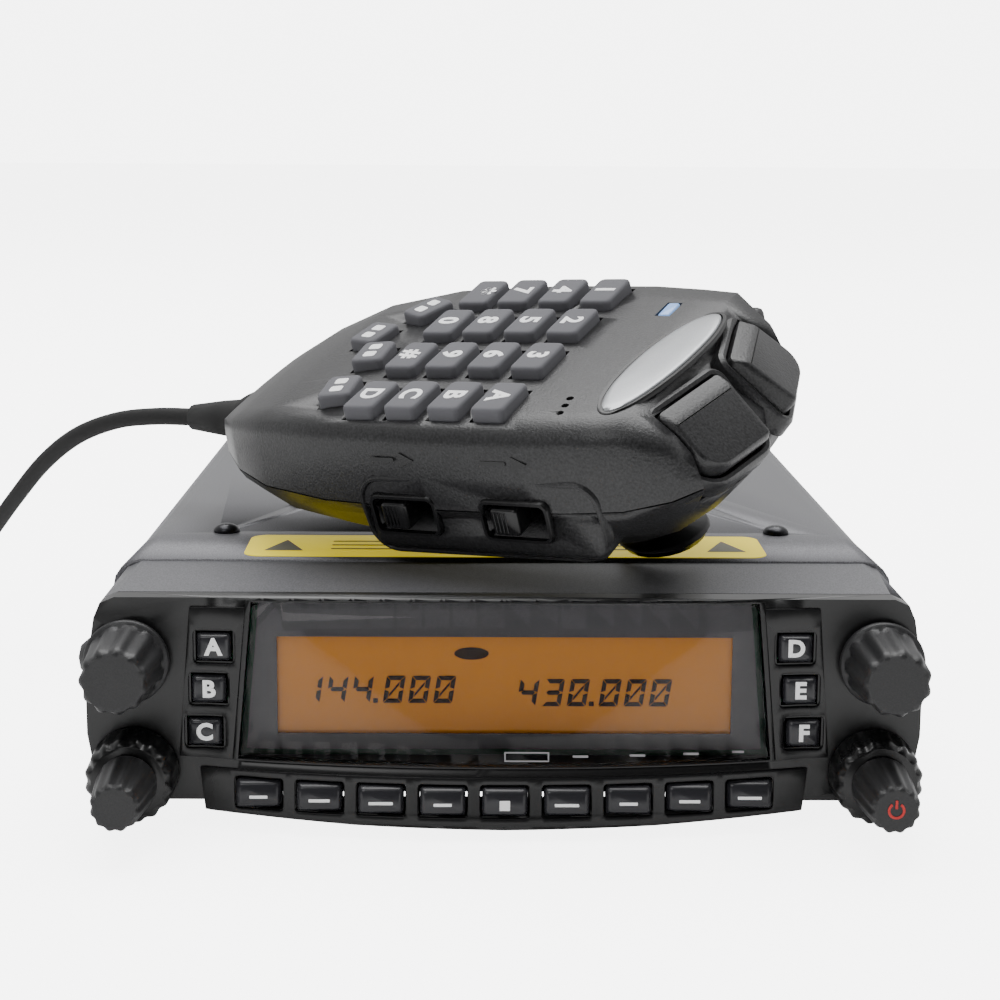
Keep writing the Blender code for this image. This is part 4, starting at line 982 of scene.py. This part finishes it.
@dataclass
class ControlHead:
    """Shells, window, display, bezels, keys and knobs of the control head."""

    face: HeadFace
    side_keys: tuple[tuple[str, str, float, float], ...] = (
        ("a", "d", 48.3, 31.2), ("b", "e", 49.2, 24.0), ("c", "f", 50.0, 16.6),
    )
    side_key: Point = (5.6 * MM, 4.6 * MM)
    lower_key: Point = (7.5 * MM, 4.6 * MM)
    lower_pitch: float = 10.25 * MM
    lower_z: float = 6.5 * MM
    key_proud: float = 1.3 * MM
    key_length: float = 3.6 * MM
    lcd_front: float = -80.5 * MM
    dial: Point = (62.6 * MM, 28.9 * MM)
    volume: Point = (61.9 * MM, 9.9 * MM)

    def build(self) -> None:
        """Makes every piece of the head."""
        self.shells()
        self.bezels()
        self.display()
        self.keys()
        self.knobs()

    def shells(self) -> None:
        """Painted rear shell, black front shell, window, mask, boards and cap."""
        smoothed("head_rear_shell", "painted_head_shell", GREY_PAINT, "control_head")
        smoothed("head_front_shell", "head_face_shell", HEAD_PLASTIC, "control_head")
        smoothed("display_window", "smoked_display_window", SMOKED_WINDOW, "control_head", 25)
        smoothed("side_jack_cap", "rubber_jack_cap", KNOB_RUBBER, "side_cap")
        refinish(BOARD_GREEN, "head_board")
        refinish(AMBER_DISPLAY, "lcd_module")
        outer = [(43.4, 12.8), (41.2, 38.0), (-41.2, 38.0), (-43.4, 12.8)]
        inner = [(38.2, 15.4), (38.2, 32.2), (-38.2, 32.2), (-38.2, 15.4)]
        front, back = -81.6, -81.1
        order = ((outer, front), (outer, back), (inner, back), (inner, front))
        rings = [metres((x, y, z) for x, z in ring) for ring, y in order]
        settle(loft("display_mask", rings, hollow=True), INNER_MASK, "control_head")

    def bezels(self) -> None:
        """Raised frames round the side keys and the lower row, and the rim of the window."""
        for side, hand in ((-1, "left"), (1, "right")):
            corners = ((43.0, 37.9), (52.3, 37.9), (54.4, 12.3), (45.4, 11.9))
            outline = [(side * x * MM, z * MM) for x, z in corners]
            holes = []
            for _, _, x, z in self.side_keys:
                well = rounded(self.side_key[0] + 1.3 * MM, self.side_key[1] + 1.2 * MM, 0.9 * MM)
                holes.append([(side * x * MM + a, z * MM + b) for a, b in well])
            plate = self.face.plate(f"{hand}_key_bezel", outline, holes, 0.55 * MM, 0.7 * MM)
            settle(bevelled(plate, 0.18 * MM), BLACK_TRIM, "control_head")
        width = 51.0 * MM
        lower = [(width, 10.4 * MM), (-width, 10.4 * MM)]
        count = 24
        for i in range(count + 1):
            x = -width * 0.985 + 2 * width * 0.985 * i / count
            lower.append((x, 2.35 * MM + 0.7 * MM * (x / width) ** 4))
        holes = []
        for i in range(9):
            well = rounded(self.lower_key[0] + 0.8 * MM, self.lower_key[1] + 0.9 * MM, 0.7 * MM)
            holes.append([((i - 4) * self.lower_pitch + a, self.lower_z + b) for a, b in well])
        plate = self.face.plate("lower_key_bezel", lower, holes, 0.5 * MM, 0.7 * MM)
        settle(bevelled(plate, 0.18 * MM), BLACK_TRIM, "control_head")
        outer = [(43.0, 39.0), (45.3, 11.8), (-45.3, 11.8), (-43.0, 39.0)]
        inner = [(42.1, 38.7), (44.5, 12.2), (-44.5, 12.2), (-42.1, 38.7)]
        rim = self.face.plate("window_rim", metres(outer), [metres(inner)], 0.3 * MM, 0.5 * MM)
        settle(bevelled(rim, 0.12 * MM), BLACK_TRIM, "control_head")

    def digit(self, character: str, left: float) -> list[list[Point]]:
        """The strokes of one slanted seven-bar figure, as outlines."""
        wide, high, bar, cut = 3.15 * MM, 4.7 * MM, 0.72 * MM, 0.12 * MM
        middle = high / 2
        bars = {
            "top": [(cut, high), (wide - cut, high), (wide - bar, high - bar), (bar, high - bar)],
            "base": [(cut, 0), (bar, bar), (wide - bar, bar), (wide - cut, 0)],
            "mid": [
                (bar * 0.6, middle), (bar, middle + bar / 2), (wide - bar, middle + bar / 2),
                (wide - bar * 0.6, middle), (wide - bar, middle - bar / 2), (bar, middle - bar / 2),
            ],
            "slash": [
                (bar * 1.2, bar * 1.4), (bar * 1.2, bar * 2.2), (wide - bar * 1.2, high - bar * 1.4),
                (wide - bar * 1.2, high - bar * 2.2),
            ],
        }
        for name, x0, x1 in (("left", 0.0, bar), ("right", wide, wide - bar)):
            for level, low, end in (("low", cut, middle - cut), ("high", middle + cut, high - cut)):
                inner_low = low + (bar if level == "low" else bar * 0.35)
                inner_high = end - (bar * 0.35 if level == "low" else bar)
                bars[f"{level}_{name}"] = [(x0, low), (x0, end), (x1, inner_high), (x1, inner_low)]
        frame_of_zero = "top base low_left high_left low_right high_right"
        strokes = {
            "0": f"{frame_of_zero} slash",
            "1": "low_right high_right",
            "3": "top mid base low_right high_right",
            "4": "high_left mid high_right low_right",
        }
        lean = 0.16
        names = strokes[character].split()
        return [[(left + x + z * lean, z) for x, z in bars[name]] for name in names]

    def display(self) -> None:
        """Figures and the oval mark on the display, and plain marks on the window."""
        items = []
        for text, left, base in (("144.000", -34.4, 20.5), ("430.000", 2.0, 20.0)):
            at = left * MM
            for character in text:
                if character == ".":
                    square = rounded(0.8 * MM, 0.8 * MM, 0.1 * MM)
                    spot = [(at - 0.1 * MM + a, 0.4 * MM + b) for a, b in square]
                    outlines, step = [spot], 1.1 * MM
                else:
                    outlines, step = self.digit(character, at), 4.25 * MM
                place = outward(0, self.lcd_front, base * MM)
                items += [(outline, 0.05 * MM, 0.15 * MM, place) for outline in outlines]
                at += step
        place = outward(-5.6 * MM, self.lcd_front, 29.1 * MM)
        items.append((oval(2.9 * MM, 1.05 * MM), 0.05 * MM, 0.15 * MM, place))
        settle(prisms("display_figures", items), DISPLAY_SEGMENT, "control_head")
        marks = []
        bars = (
            (3.6, 13.0, 7.4, 0.25), (3.6, 14.4, 7.4, 0.25), (12.5, 13.7, 2.6, 0.4),
            (22.0, 13.7, 2.6, 0.4), (31.0, 13.7, 2.6, 0.4), (39.0, 13.7, 2.0, 0.4),
        )
        for x, z, wide, high in bars:
            place = self.face.frame_at(x * MM, z * MM, -0.2 * MM)
            marks.append((rounded(wide * MM, high * MM, 0.1 * MM), 0.01 * MM, 0.05 * MM, place))
        for x in (0.0, 7.2):
            place = self.face.frame_at(x * MM, 13.7 * MM, -0.2 * MM)
            marks.append((rounded(0.25 * MM, 1.6 * MM, 0.1 * MM), 0.01 * MM, 0.06 * MM, place))
        settle(prisms("window_marks", marks), GREY_PRINT, "control_head")

    def key_cap(self, node: str, x: float, z: float, size: Point, wedge: float) -> None:
        """One key with chamfered edges; a wedge leans its front back at the top."""
        width, height = size
        front = self.face.y(x, z) - self.key_proud
        rings = []
        steps = ((self.key_length, 0.0), (0.75 * MM, 0.0), (0.12 * MM, 0.5 * MM), (0.0, 0.7 * MM))
        for depth, inset in steps:
            ring = []
            for a, b in rounded(width - 2 * inset, height - 2 * inset, 0.55 * MM):
                lean = wedge * max(0.0, b / (height / 2)) * (1 - depth / self.key_length)
                ring.append((x + a, front + depth + lean, z + b))
            rings.append(ring)
        cap = settle(loft(f"{node}_button", rings), KEY_PLASTIC, f"{node}_cap", 60)
        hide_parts(node)

    def keys(self) -> None:
        """Fifteen keys with their legends, whose white print glows a little as painted light."""
        for left, right, out, up in self.side_keys:
            for side, letter in ((-1, left), (1, right)):
                x, z, node = side * out * MM, up * MM, f"key_{letter}"
                self.key_cap(node, x, z, self.side_key, 0.0)
                front = self.face.y(x, z) - self.key_proud
                place = outward(x, front - 0.02 * MM, z)
                mark = lettering(f"{node}_legend", letter.upper(), 3.9 * MM, place, 0.16 * MM)
                settle(mark, GLOWING_WHITE_PRINT, f"{node}_cap")
        for i in range(9):
            x, z, node = (i - 4) * self.lower_pitch, self.lower_z, f"lower_key_{i + 1}"
            self.key_cap(node, x, z, self.lower_key, 0.5 * MM)
            front = self.face.y(x, z) - self.key_proud
            if i == 4:
                outline = rounded(1.7 * MM, 1.7 * MM, 0.1 * MM)
            else:
                outline = rounded((3.0 + 0.5 * (i % 3)) * MM, 0.5 * MM, 0.12 * MM)
            marks = [(outline, -0.03 * MM, 0.04 * MM, outward(x, front, z - 0.4 * MM))]
            settle(prisms(f"{node}_legend", marks), GLOWING_WHITE_PRINT, f"{node}_cap")

    def knob(
        self, name: str, profile: Sequence[Point], axis: Point, flutes: tuple[float, float, float, float],
        finish: Finish, body: str,
    ) -> Piece:
        """A turned knob with flutes.

        Args:
            name: The piece's name.
            profile: Radius and height pairs in millimetres, from the axis round to the axis.
            axis: X and Z of its axis.
            flutes: Their count, depth, and first and last height, in millimetres.
            finish: What it is made of.
            body: The body that it rides on.

        Returns:
            The new piece.
        """
        count, depth, low, high = flutes
        place = outward(axis[0], self.face.flat_y, axis[1])
        obj = revolve(name, metres(profile), Matrix.Identity(4), 120)
        sizes = {"Count": count, "Depth": depth * MM, "From": low * MM, "To": high * MM}
        return settle(repeated(obj, Rule.FLUTES, finish, place, **sizes), finish, body, 40)

    def knobs(self) -> None:
        """Tuning dials, squelch rings and volume knobs, on both sides."""
        for side, hand in ((-1, "left"), (1, "right")):
            axis = (side * self.dial[0], self.dial[1])
            refinish(STEEL, f"{hand}_tuning_shaft")
            profile = [
                (0, 9.4), (2.3, 9.4), (2.3, 1.3), (6.8, 1.3), (7.1, 1.6), (7.1, 2.3), (6.9, 2.6),
                (6.5, 2.75), (6.45, 3.2), (6.3, 5.0), (6.05, 8.0), (5.85, 11.0), (5.7, 13.6),
                (5.55, 14.3), (5.3, 14.75), (5.0, 15.0), (4.8, 15.1), (4.2, 15.1), (0, 15.15),
            ]
            flutes = (11, 0.5, 2.9, 15.05)
            dial = self.knob(f"{hand}_fluted_dial", profile, axis, flutes, KNOB_RUBBER, f"{hand}_dial")
            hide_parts(f"{hand}_tuning_dial")
            axis = (side * self.volume[0], self.volume[1])
            profile = [
                (5.9, 7.3), (5.4, 4.0), (5.4, 0.6), (7.2, 0.6), (7.45, 0.9), (7.5, 2.2), (7.4, 4.0),
                (7.35, 6.2), (7.1, 6.9), (6.6, 7.4), (6.1, 7.6), (5.9, 7.3),
            ]
            flutes = (16, 0.45, 1.2, 7.5)
            ring = self.knob(f"{hand}_scalloped_ring", profile, axis, flutes, BLACK_TRIM, f"{hand}_squelch")
            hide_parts(f"{hand}_squelch_ring")
            hole = [(1.9, 13.4), (1.9, 8.4)] if side > 0 else [(2.4, -4.0), (2.4, 8.4)]
            profile = [
                (0, hole[0][1]), *hole, (4.9, 8.4), (5.0, 9.0), (4.85, 11.0), (4.6, 14.0), (4.3, 17.5),
                (4.1, 19.6), (3.95, 20.2), (3.7, 20.55), (3.4, 20.7), (3.0, 20.7), (0, 20.75),
            ]
            flutes = (12, 0.32, 8.5, 20.6)
            knob = self.knob(f"{hand}_conical_knob", profile, axis, flutes, KNOB_RUBBER, f"{hand}_volume")
            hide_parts(f"{hand}_volume_knob")
        refinish(STEEL, "power_shaft")
        self.power_mark()

    def power_mark(self) -> None:
        """An open ring and a bar, the common sign for a power switch, on the right volume knob."""
        place = outward(self.volume[0], self.face.flat_y - 20.78 * MM, self.volume[1])
        inner, outer, steps = 1.0 * MM, 1.4 * MM, 24
        turns = [radians(125 + 290 * i / steps) for i in range(steps + 1)]
        band = [(outer * cos(a), outer * sin(a)) for a in turns]
        band += [(inner * cos(a), inner * sin(a)) for a in reversed(turns)]
        bar = metres([(-0.2, 0.3), (0.2, 0.3), (0.2, 1.7), (-0.2, 1.7)])
        items = [(outline, -0.03 * MM, 0.03 * MM, place) for outline in (band, bar)]
        settle(prisms("power_sign", items), RED_PRINT, "right_volume")


# Main unit


@dataclass
class MainUnit:
    """Covers, chassis, label, screws, sockets and fan."""

    crease: Point = (-33.0 * MM, 40.0 * MM)
    joint: Point = (-55.0 * MM, 39.7 * MM)
    label: tuple[float, float, float, float] = (-47.0 * MM, 48.0 * MM, -52.6 * MM, -34.6 * MM)

    def cover_z(self, y: float) -> float:
        """Height of the top cover at y."""
        (y0, z0), (y1, z1) = self.crease, self.joint
        return z0 if y > y0 else z0 + (z1 - z0) * (y - y0) / (y1 - y0)

    def build(self) -> None:
        """Makes every piece of the main unit."""
        smoothed("top_cover", "painted_top_cover", GREY_PAINT, "main_unit", 50)
        smoothed("bottom_cover", "painted_bottom_cover", GREY_PAINT, "main_unit", 50)
        smoothed("antenna_socket", "plated_antenna_socket", STEEL, "main_unit")
        smoothed("speaker_jack", "round_speaker_jack", BLACK_TRIM, "main_unit")
        smoothed("fan_impeller", "bladed_fan_wheel", BLACK_TRIM, "fan")
        smoothed("loudspeaker", "cone_loudspeaker", PAPER, "main_unit")
        refinish(ALUMINIUM, "chassis")
        refinish(BOARD_GREEN, "main_board")
        refinish(BLACK_TRIM, "power_inlet")
        self.screws()
        self.print_label()
        self.fan_guard()

    def screws(self) -> None:
        """Four domed screws in the top cover, the front pair larger than the rear one."""
        for name, x, y, radius in (("front", 52.4, -31.0, 2.45 * MM), ("rear", 40.6, -2.0, 2.2 * MM)):
            points = [(side * x * MM, y * MM, self.cover_z(y * MM) + 0.25 * MM) for side in (-1, 1)]
            start = points_object(f"{name}_cover_screws", points)
            sizes = {"Radius": radius, "Rise": 1.4 * MM}
            made = repeated(start, Rule.SCREWS, BLACK_STEEL, Matrix.Identity(4), **sizes)
            settle(made, BLACK_STEEL, "main_unit", 40)
            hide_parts(f"left_{name}_screw", f"right_{name}_screw")

    def print_label(self) -> None:
        """The yellow label across the cover, with two plain triangles; the label glows a little, which is
        painted light.
        """
        x0, x1, y0, y1 = self.label
        tilt = atan2(self.crease[1] - self.joint[1], self.crease[0] - self.joint[0])
        middle = ((x0 + x1) / 2, (y0 + y1) / 2)
        place = Matrix.Translation((*middle, self.cover_z(middle[1])))
        place = place @ Matrix.Rotation(tilt, 4, "X")
        items = [(rounded(x1 - x0, y1 - y0, 3.0 * MM, 8), -0.02 * MM, 0.12 * MM, place)]
        # The label's glow is painted light.
        settle(prisms("yellow_cover_label_painted_glow", items), GLOWING_YELLOW_LABEL, "main_unit")
        outlines = [metres([(x - 3.6, -4.4), (x + 3.6, -4.4), (x, 4.6)]) for x in (-40.5, 40.5)]
        for row in (3.6, 0.4, -2.8):
            outlines.append([(a, row * MM + b) for a, b in rounded(64 * MM, 0.7 * MM, 0.3 * MM)])
        marks = [(outline, 0.11 * MM, 0.16 * MM, place) for outline in outlines]
        settle(prisms("label_triangles", marks), LABEL_GREY, "main_unit")

    def fan_guard(self) -> None:
        """A wire guard of rings and spokes over the fan's tunnel."""
        shape = bmesh.new()
        place = Matrix.Translation((0, 104.6 * MM, 20.0 * MM)) @ Matrix.Rotation(-pi / 2, 4, "X")
        wire = 0.6 * MM
        for radius in (5.5, 10.0, 14.6):
            rings = []
            for i in range(48):
                turn = 2 * pi * i / 48
                ring = []
                for j in range(8):
                    around = 2 * pi * j / 8
                    r = radius * MM + wire * cos(around)
                    ring.append((r * cos(turn), r * sin(turn), wire * sin(around)))
                rings.append(ring)
            skin(shape, [*rings, rings[0]], caps=False)
        for i in range(4):
            spoke = Matrix.Rotation(pi / 4 + pi / 2 * i, 4, "Z") @ Matrix.Rotation(pi / 2, 4, "Y")
            add_prism(shape, oval(wire, wire, 8), 5.0 * MM, 18.5 * MM, spoke)
        bmesh.ops.remove_doubles(shape, verts=shape.verts, dist=WELD)
        settle(close("fan_guard", shape, place), STEEL, "main_unit")


# Handset


@dataclass
class Handset:
    """The keypad handset that lies on the top cover."""

    at: tuple[float, float, float] = (-2.5 * MM, -46.7 * MM, 78.8 * MM)
    turns: tuple[float, float, float] = (-30.9, -2.75, 21.05)
    seam: float = -17.0 * MM
    stations: tuple[tuple[float, float, float, float], ...] = (
        (-57.0, 9.0, -12.5, -24.0), (-54.0, 15.5, -10.5, -27.0), (-47.0, 22.0, -7.4, -30.0),
        (-37.0, 27.5, -4.4, -32.4), (-22.0, 31.0, -2.6, -34.0), (0.0, 32.4, -2.2, -34.4),
        (20.0, 32.0, -2.2, -34.4), (30.0, 30.8, -2.4, -34.0), (37.0, 29.6, -2.6, -31.5),
        (44.0, 25.6, -7.5, -27.0), (50.0, 18.0, -14.0, -21.5),
    )
    section: tuple[Point, ...] = (
        (1.0, 0.0), (0.975, 0.4), (0.94, 0.75), (0.9, 0.93), (0.7, 0.965), (0.4, 0.99), (0.0, 1.0),
    )
    columns: tuple[float, ...] = (12.7, 3.9, -4.9, -13.5)
    rows: tuple[float, ...] = (21.8, 7.9, -6.2, -21.0)
    legends: tuple[str, ...] = ("147*", "2580", "369#", "ABCD")
    key: Point = (6.4 * MM, 10.4 * MM)
    extra: tuple[Spot, ...] = (
        (-22.1, 15.0, -25.0), (-28.6, 5.0, -10.0), (-22.9, -4.4, 8.0), (-22.0, -18.0, 12.0),
    )
    badge: tuple[float, float, float, float, float] = (35.3 * MM, -2.9 * MM, 18.4 * MM, 4.8 * MM, 0.12)
    switches: tuple[tuple[str, str, float], ...] = (
        ("lamp_switch", "lamp_slide", -4.5), ("lock_switch", "lock_slide", 17.5),
    )
    switch_z: float = -18.6
    travel: float = 3.6

    def place(self) -> Matrix:
        """The handset's own axes: X to its top end, Z out of its face."""
        turn, rise, lean = (radians(value) for value in self.turns)
        axes = Matrix.Rotation(turn, 4, "Z") @ Matrix.Rotation(rise, 4, "Y")
        return Matrix.Translation(self.at) @ (axes @ Matrix.Rotation(lean, 4, "X"))

    def station(self, x: float) -> list[float]:
        """Half width, face height and back height at x."""
        for first, last in zip(self.stations, self.stations[1:]):
            if first[0] * MM <= x <= last[0] * MM:
                part = (x / MM - first[0]) / (last[0] - first[0])
                return [(a + (b - a) * part) * MM for a, b in zip(first[1:], last[1:])]
        return [value * MM for value in self.stations[-1 if x > 0 else 0][1:]]

    def face_z(self, x: float, y: float) -> float:
        """Height of the face at (x, y)."""
        half, face, _ = self.station(x)
        across = min(1.0, abs(y / half))
        rise = 0.0
        for (outer, low), (inner, high) in zip(self.section, self.section[1:]):
            if inner <= across <= outer:
                rise = low + (high - low) * (outer - across) / (outer - inner)
        return self.seam + (face - self.seam) * rise

    def build(self) -> None:
        """Makes every piece of the handset."""
        self.shells()
        self.keypad()
        self.plate()
        self.slides()
        self.switch_panel()

    def switch_panel(self) -> None:
        """The lip round the flat panel that holds the slides, and two pointers above it."""
        place = self.place()
        middle, deep = 9.8 * MM, -19.2 * MM
        rings = []
        for wide, high, corner, proud in (
            (47.0, 15.6, 5.0, -1.6), (47.0, 15.6, 5.0, 0.1), (46.4, 15.0, 4.7, 0.45),
            (45.6, 14.2, 4.3, 0.4), (45.0, 13.6, 4.0, 0.0), (45.0, 13.6, 4.0, -1.6),
        ):
            ring = []
            for a, b in rounded(wide * MM, high * MM, corner * MM, 8):
                x, z = middle + a, deep + b
                above, below = max(0.0, z - self.seam), max(0.0, self.seam - z)
                side = -self.station(x)[0] - proud * MM + 0.1 * above + 0.12 * below
                ring.append(place @ Vector((x, side, z)))
            rings.append(ring)
        settle(loft("switch_panel_lip", rings, hollow=True), HANDSET_PLASTIC, "handset", 40)
        arrow = metres([(-1.6, -1.3), (1.3, 0.0), (-1.6, 1.3)])
        bar = [(a - 5.2 * MM, b) for a, b in rounded(5.0 * MM, 0.7 * MM, 0.3 * MM)]
        marks = []
        for x in (-2.0 * MM, 20.0 * MM):
            spot = Matrix.Translation((x, -self.station(x)[0] * 0.962, -8.2 * MM))
            spot = place @ spot @ Matrix.Rotation(radians(76), 4, "X")
            marks += [(outline, -0.1 * MM, 0.12 * MM, spot) for outline in (arrow, bar)]
        settle(prisms("slide_pointers", marks), BLACK_TRIM, "handset")

    def shells(self) -> None:
        """Both shells, the lever, the end keys, the hang button and the strain relief."""
        smoothed("handset_front_shell", "handset_face_shell", HANDSET_PLASTIC, "handset", 30)
        smoothed("handset_back_shell", "handset_rear_shell", HANDSET_PLASTIC, "handset", 30)
        smoothed("push_to_talk_lever", "talk_lever", HANDSET_PLASTIC, "push_to_talk", 40)
        self.end_key("up_key", "up_button", -1)
        self.end_key("down_key", "down_button", 1)
        smoothed("hang_button", "round_hang_button", BLACK_TRIM, "handset")
        smoothed("strain_relief", "tapered_strain_relief", CORD_RUBBER, "handset", 50)
        smoothed("status_lens", "status_lamp_lens", BLUE_LENS, "handset", 50)
        refinish(BOARD_GREEN, "handset_board")

    def end_key(self, node: str, body: str, side: int) -> None:
        """A key on the sloped end, chamfered at its top, and the collar that it slides in.

        Args:
            node: The key's node.
            body: The body that it rides on.
            side: 1 for the far key, -1 for the near one.
        """
        spot = self.place() @ Matrix.Translation((45.2 * MM, side * 11.2 * MM, -12.0 * MM))
        spot = spot @ Matrix.Rotation(radians(16 * side), 4, "Z")
        spot = spot @ Matrix.Rotation(radians(48), 4, "Y")
        near, far = (1.5, 5.5) if side > 0 else (5.5, 1.5)
        corners = ((1, 1, far), (-1, 1, 1.2), (-1, -1, 1.2), (1, -1, near))

        def outline(grow: float, shift: float = 0.0) -> list[Point]:
            """The key's outline in millimetres, grown all round, with its top edge shifted in."""
            points = []
            for i, (sx, sy, corner) in enumerate(corners):
                for j in range(9):
                    angle = pi / 2 * (i + j / 8)
                    reach = corner + grow
                    x = sx * (7.0 - corner) + reach * cos(angle)
                    y = sy * (8.2 - corner) + reach * sin(angle)
                    points.append((x + shift * (7.0 - x) / 14.0, y))
            return points

        steps = ((0, 0, -2.0), (0, 0, 2.9), (-0.5, 1.6, 3.9), (-0.9, 2.4, 4.15), (-1.4, 2.4, 4.2))
        rings = [metres((x, y, z) for x, y in outline(grow, shift)) for grow, shift, z in steps]
        key = settle(loft(f"{node}_cap", rings, spot), HANDSET_PLASTIC, body, 30)
        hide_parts(node)
        rings = []
        for grow, z in ((0.4, -2.8), (0.4, 1.9), (0.65, 2.25), (1.3, 2.3), (1.9, 1.7), (2.2, -2.8)):
            slope = 0.1 if z > 0 else 0.0
            rings.append(metres((x, y, z - slope * (x + 7.0)) for x, y in outline(grow)))
        settle(loft(f"{node}_collar", rings, spot, hollow=True), HANDSET_PLASTIC, "handset", 40)

    def key_places(self) -> list[tuple[float, float, float, float]]:
        """X, y, turn and length of each of the twenty keys."""
        grid = [(x * MM, y * MM, 0.0, self.key[1]) for x in self.columns for y in self.rows]
        return grid + [(x * MM, y * MM, radians(turn), 8.2 * MM) for x, y, turn in self.extra]

    def keypad(self) -> None:
        """One silicone mat with twenty keys, and their legends, whose white print glows a little as painted
        light.
        """
        place = self.place()
        shape = bmesh.new()
        columns, rows = 18, 18
        rings = []
        for i in range(columns + 1):
            x = (-34 + 52 * i / columns) * MM
            reach = 27.5 * MM - 6 * MM * max(0.0, (-18 * MM - x) / (16 * MM))
            across = [reach * (1 - 2 * j / rows) for j in range(rows + 1)]
            top = [(x, y, self.face_z(x, y) - 2.6 * MM) for y in across]
            base = [(x, y, self.face_z(x, y) - 3.7 * MM) for y in reversed(across)]
            rings.append(top + base)
        skin(shape, rings)
        for x, y, turn, long in self.key_places():
            height = self.face_z(x, y)
            spot = Matrix.Translation((x, y, height)) @ Matrix.Rotation(turn, 4, "Z")
            rings = []
            for z, inset in ((-2.9, 0.0), (1.5, 0.0), (1.95, 0.16), (2.14, 0.42), (2.2, 0.8)):
                less, corner = 2 * inset * MM, (1.1 - inset * 0.4) * MM
                outline = rounded(self.key[0] - less, long - less, corner, 5)
                rings.append([spot @ Vector((a, b, z * MM)) for a, b in outline])
            skin(shape, rings)
        pad = settle(close("silicone_keypad", shape, place), KEYPAD_SILICONE, "handset", 40)
        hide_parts("handset_keypad")
        reading = Matrix(((0, 1, 0, 0), (-1, 0, 0, 0), (0, 0, 1, 0), (0, 0, 0, 1)))
        for x, column in zip(self.columns, range(4)):
            for y, legends in zip(self.rows, self.legends):
                height = self.face_z(x * MM, y * MM) + 2.22 * MM
                spot = place @ Matrix.Translation((x * MM, y * MM, height)) @ reading
                character = legends[column]
                size = (6.6 if character == "*" else 5.3) * MM
                name = {"*": "star", "#": "hash"}.get(character, character.lower())
                mark = lettering(f"keypad_{name}_legend", character, size, spot, 0.2 * MM)
                settle(mark, GLOWING_WHITE_PRINT, "handset")
        marks = []
        for x, y, turn in self.extra:
            height = self.face_z(x * MM, y * MM) + 2.2 * MM
            spot = place @ Matrix.Translation((x * MM, y * MM, height))
            spot = spot @ Matrix.Rotation(radians(turn), 4, "Z")
            for shift in (-1.5, 1.5):
                outline = [(a, b + shift * MM) for a, b in rounded(2.4 * MM, 2.0 * MM, 0.5 * MM)]
                marks.append((outline, -0.03 * MM, 0.05 * MM, spot))
        settle(prisms("program_key_marks", marks), GLOWING_WHITE_PRINT, "handset")

    def plate(self) -> None:
        """The plain oval name plate and its recessed rim."""
        middle, centre, long, half, lean = self.badge
        place = self.place()

        def dome(grow: float, levels: Sequence[Point]) -> list[list[tuple[float, float, float]]]:
            """Rings of an oval that follows the face, from its edge to its middle."""
            rings = []
            for scale, rise in levels:
                ring = []
                for a, b in oval((half + grow) * scale, (long + grow) * scale, 56):
                    y = centre + b
                    x = middle + lean * b + a
                    ring.append((x, y, self.face_z(middle, y) + rise * MM))
                rings.append(ring)
            return rings

        rings = dome(0.0, ((1.0, 0.1), (0.99, 0.5), (0.95, 0.68), (0.85, 0.75), (0.4, 0.8)))
        badge = settle(loft("oval_name_plate", rings, place), BADGE_SILVER, "handset", 50)
        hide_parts("badge_plate")
        rings = dome(1.0 * MM, ((1.0, -0.4), (1.0, 0.25), (0.985, 0.45)))
        rings += dome(0.25 * MM, ((1.0, 0.4), (1.0, -0.4)))
        settle(loft("name_plate_rim", rings, place, hollow=True), BLACK_TRIM, "handset", 50)

    def slides(self) -> None:
        """Window frames and ribbed slides on the near side."""
        place = self.place()
        for node, body, x in self.switches:
            half = self.station(x * MM)[0]
            front = place @ outward(x * MM, -half, self.switch_z * MM)
            rings = []
            for wide, high, corner, z in (
                (12.2, 6.6, 1.2, -1.6), (12.2, 6.6, 1.2, 0.35), (13.2, 7.6, 1.6, 0.35),
                (13.8, 8.2, 1.8, -0.2), (13.8, 8.2, 1.8, -1.6),
            ):
                outline = rounded(wide * MM, high * MM, corner * MM)
                rings.append([front @ Vector((a, b, z * MM)) for a, b in outline])
            settle(loft(f"{node}_frame", rings, hollow=True), BLACK_TRIM, "handset", 40)
            knob_at = (x - self.travel / 2) * MM
            knob = place @ Matrix.Translation((knob_at, -half - 0.2 * MM, self.switch_z * MM))
            outline = rounded(5.2 * MM, 5.2 * MM, 0.7 * MM)
            rings = []
            for y, shrink in ((7.0, 1.0), (0.1, 1.0), (-0.3, 0.94), (-0.45, 0.86)):
                rings.append([knob @ Vector((a * shrink, y * MM, b * shrink)) for a, b in outline])
            slide = settle(loft(f"{node}_slide", rings), BLACK_TRIM, body, 50)
            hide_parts(node)
            start = points_object(f"{node}_ribs", [(-1.9 * MM, -0.45 * MM, 0)])
            bar = (0.32 * MM, 0.35 * MM, 3.9 * MM)
            ribs = repeated(start, Rule.RIBS, BLACK_TRIM, knob, Count=4, Pitch=0.72 * MM, Bar=bar)
            settle(bevelled(ribs, 0.08 * MM, 1), BLACK_TRIM, body)


def main() -> None:
    """Builds the studio, the cord and each sub-assembly in order, and logs each piece."""
    logging.basicConfig(level=logging.INFO, format="%(name)s: %(message)s")
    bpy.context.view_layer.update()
    Studio().build()
    MicrophoneCord().build()
    ControlHead(HeadFace()).build()
    MainUnit().build()
    Handset().build()


if __name__ == "__main__":
    main()
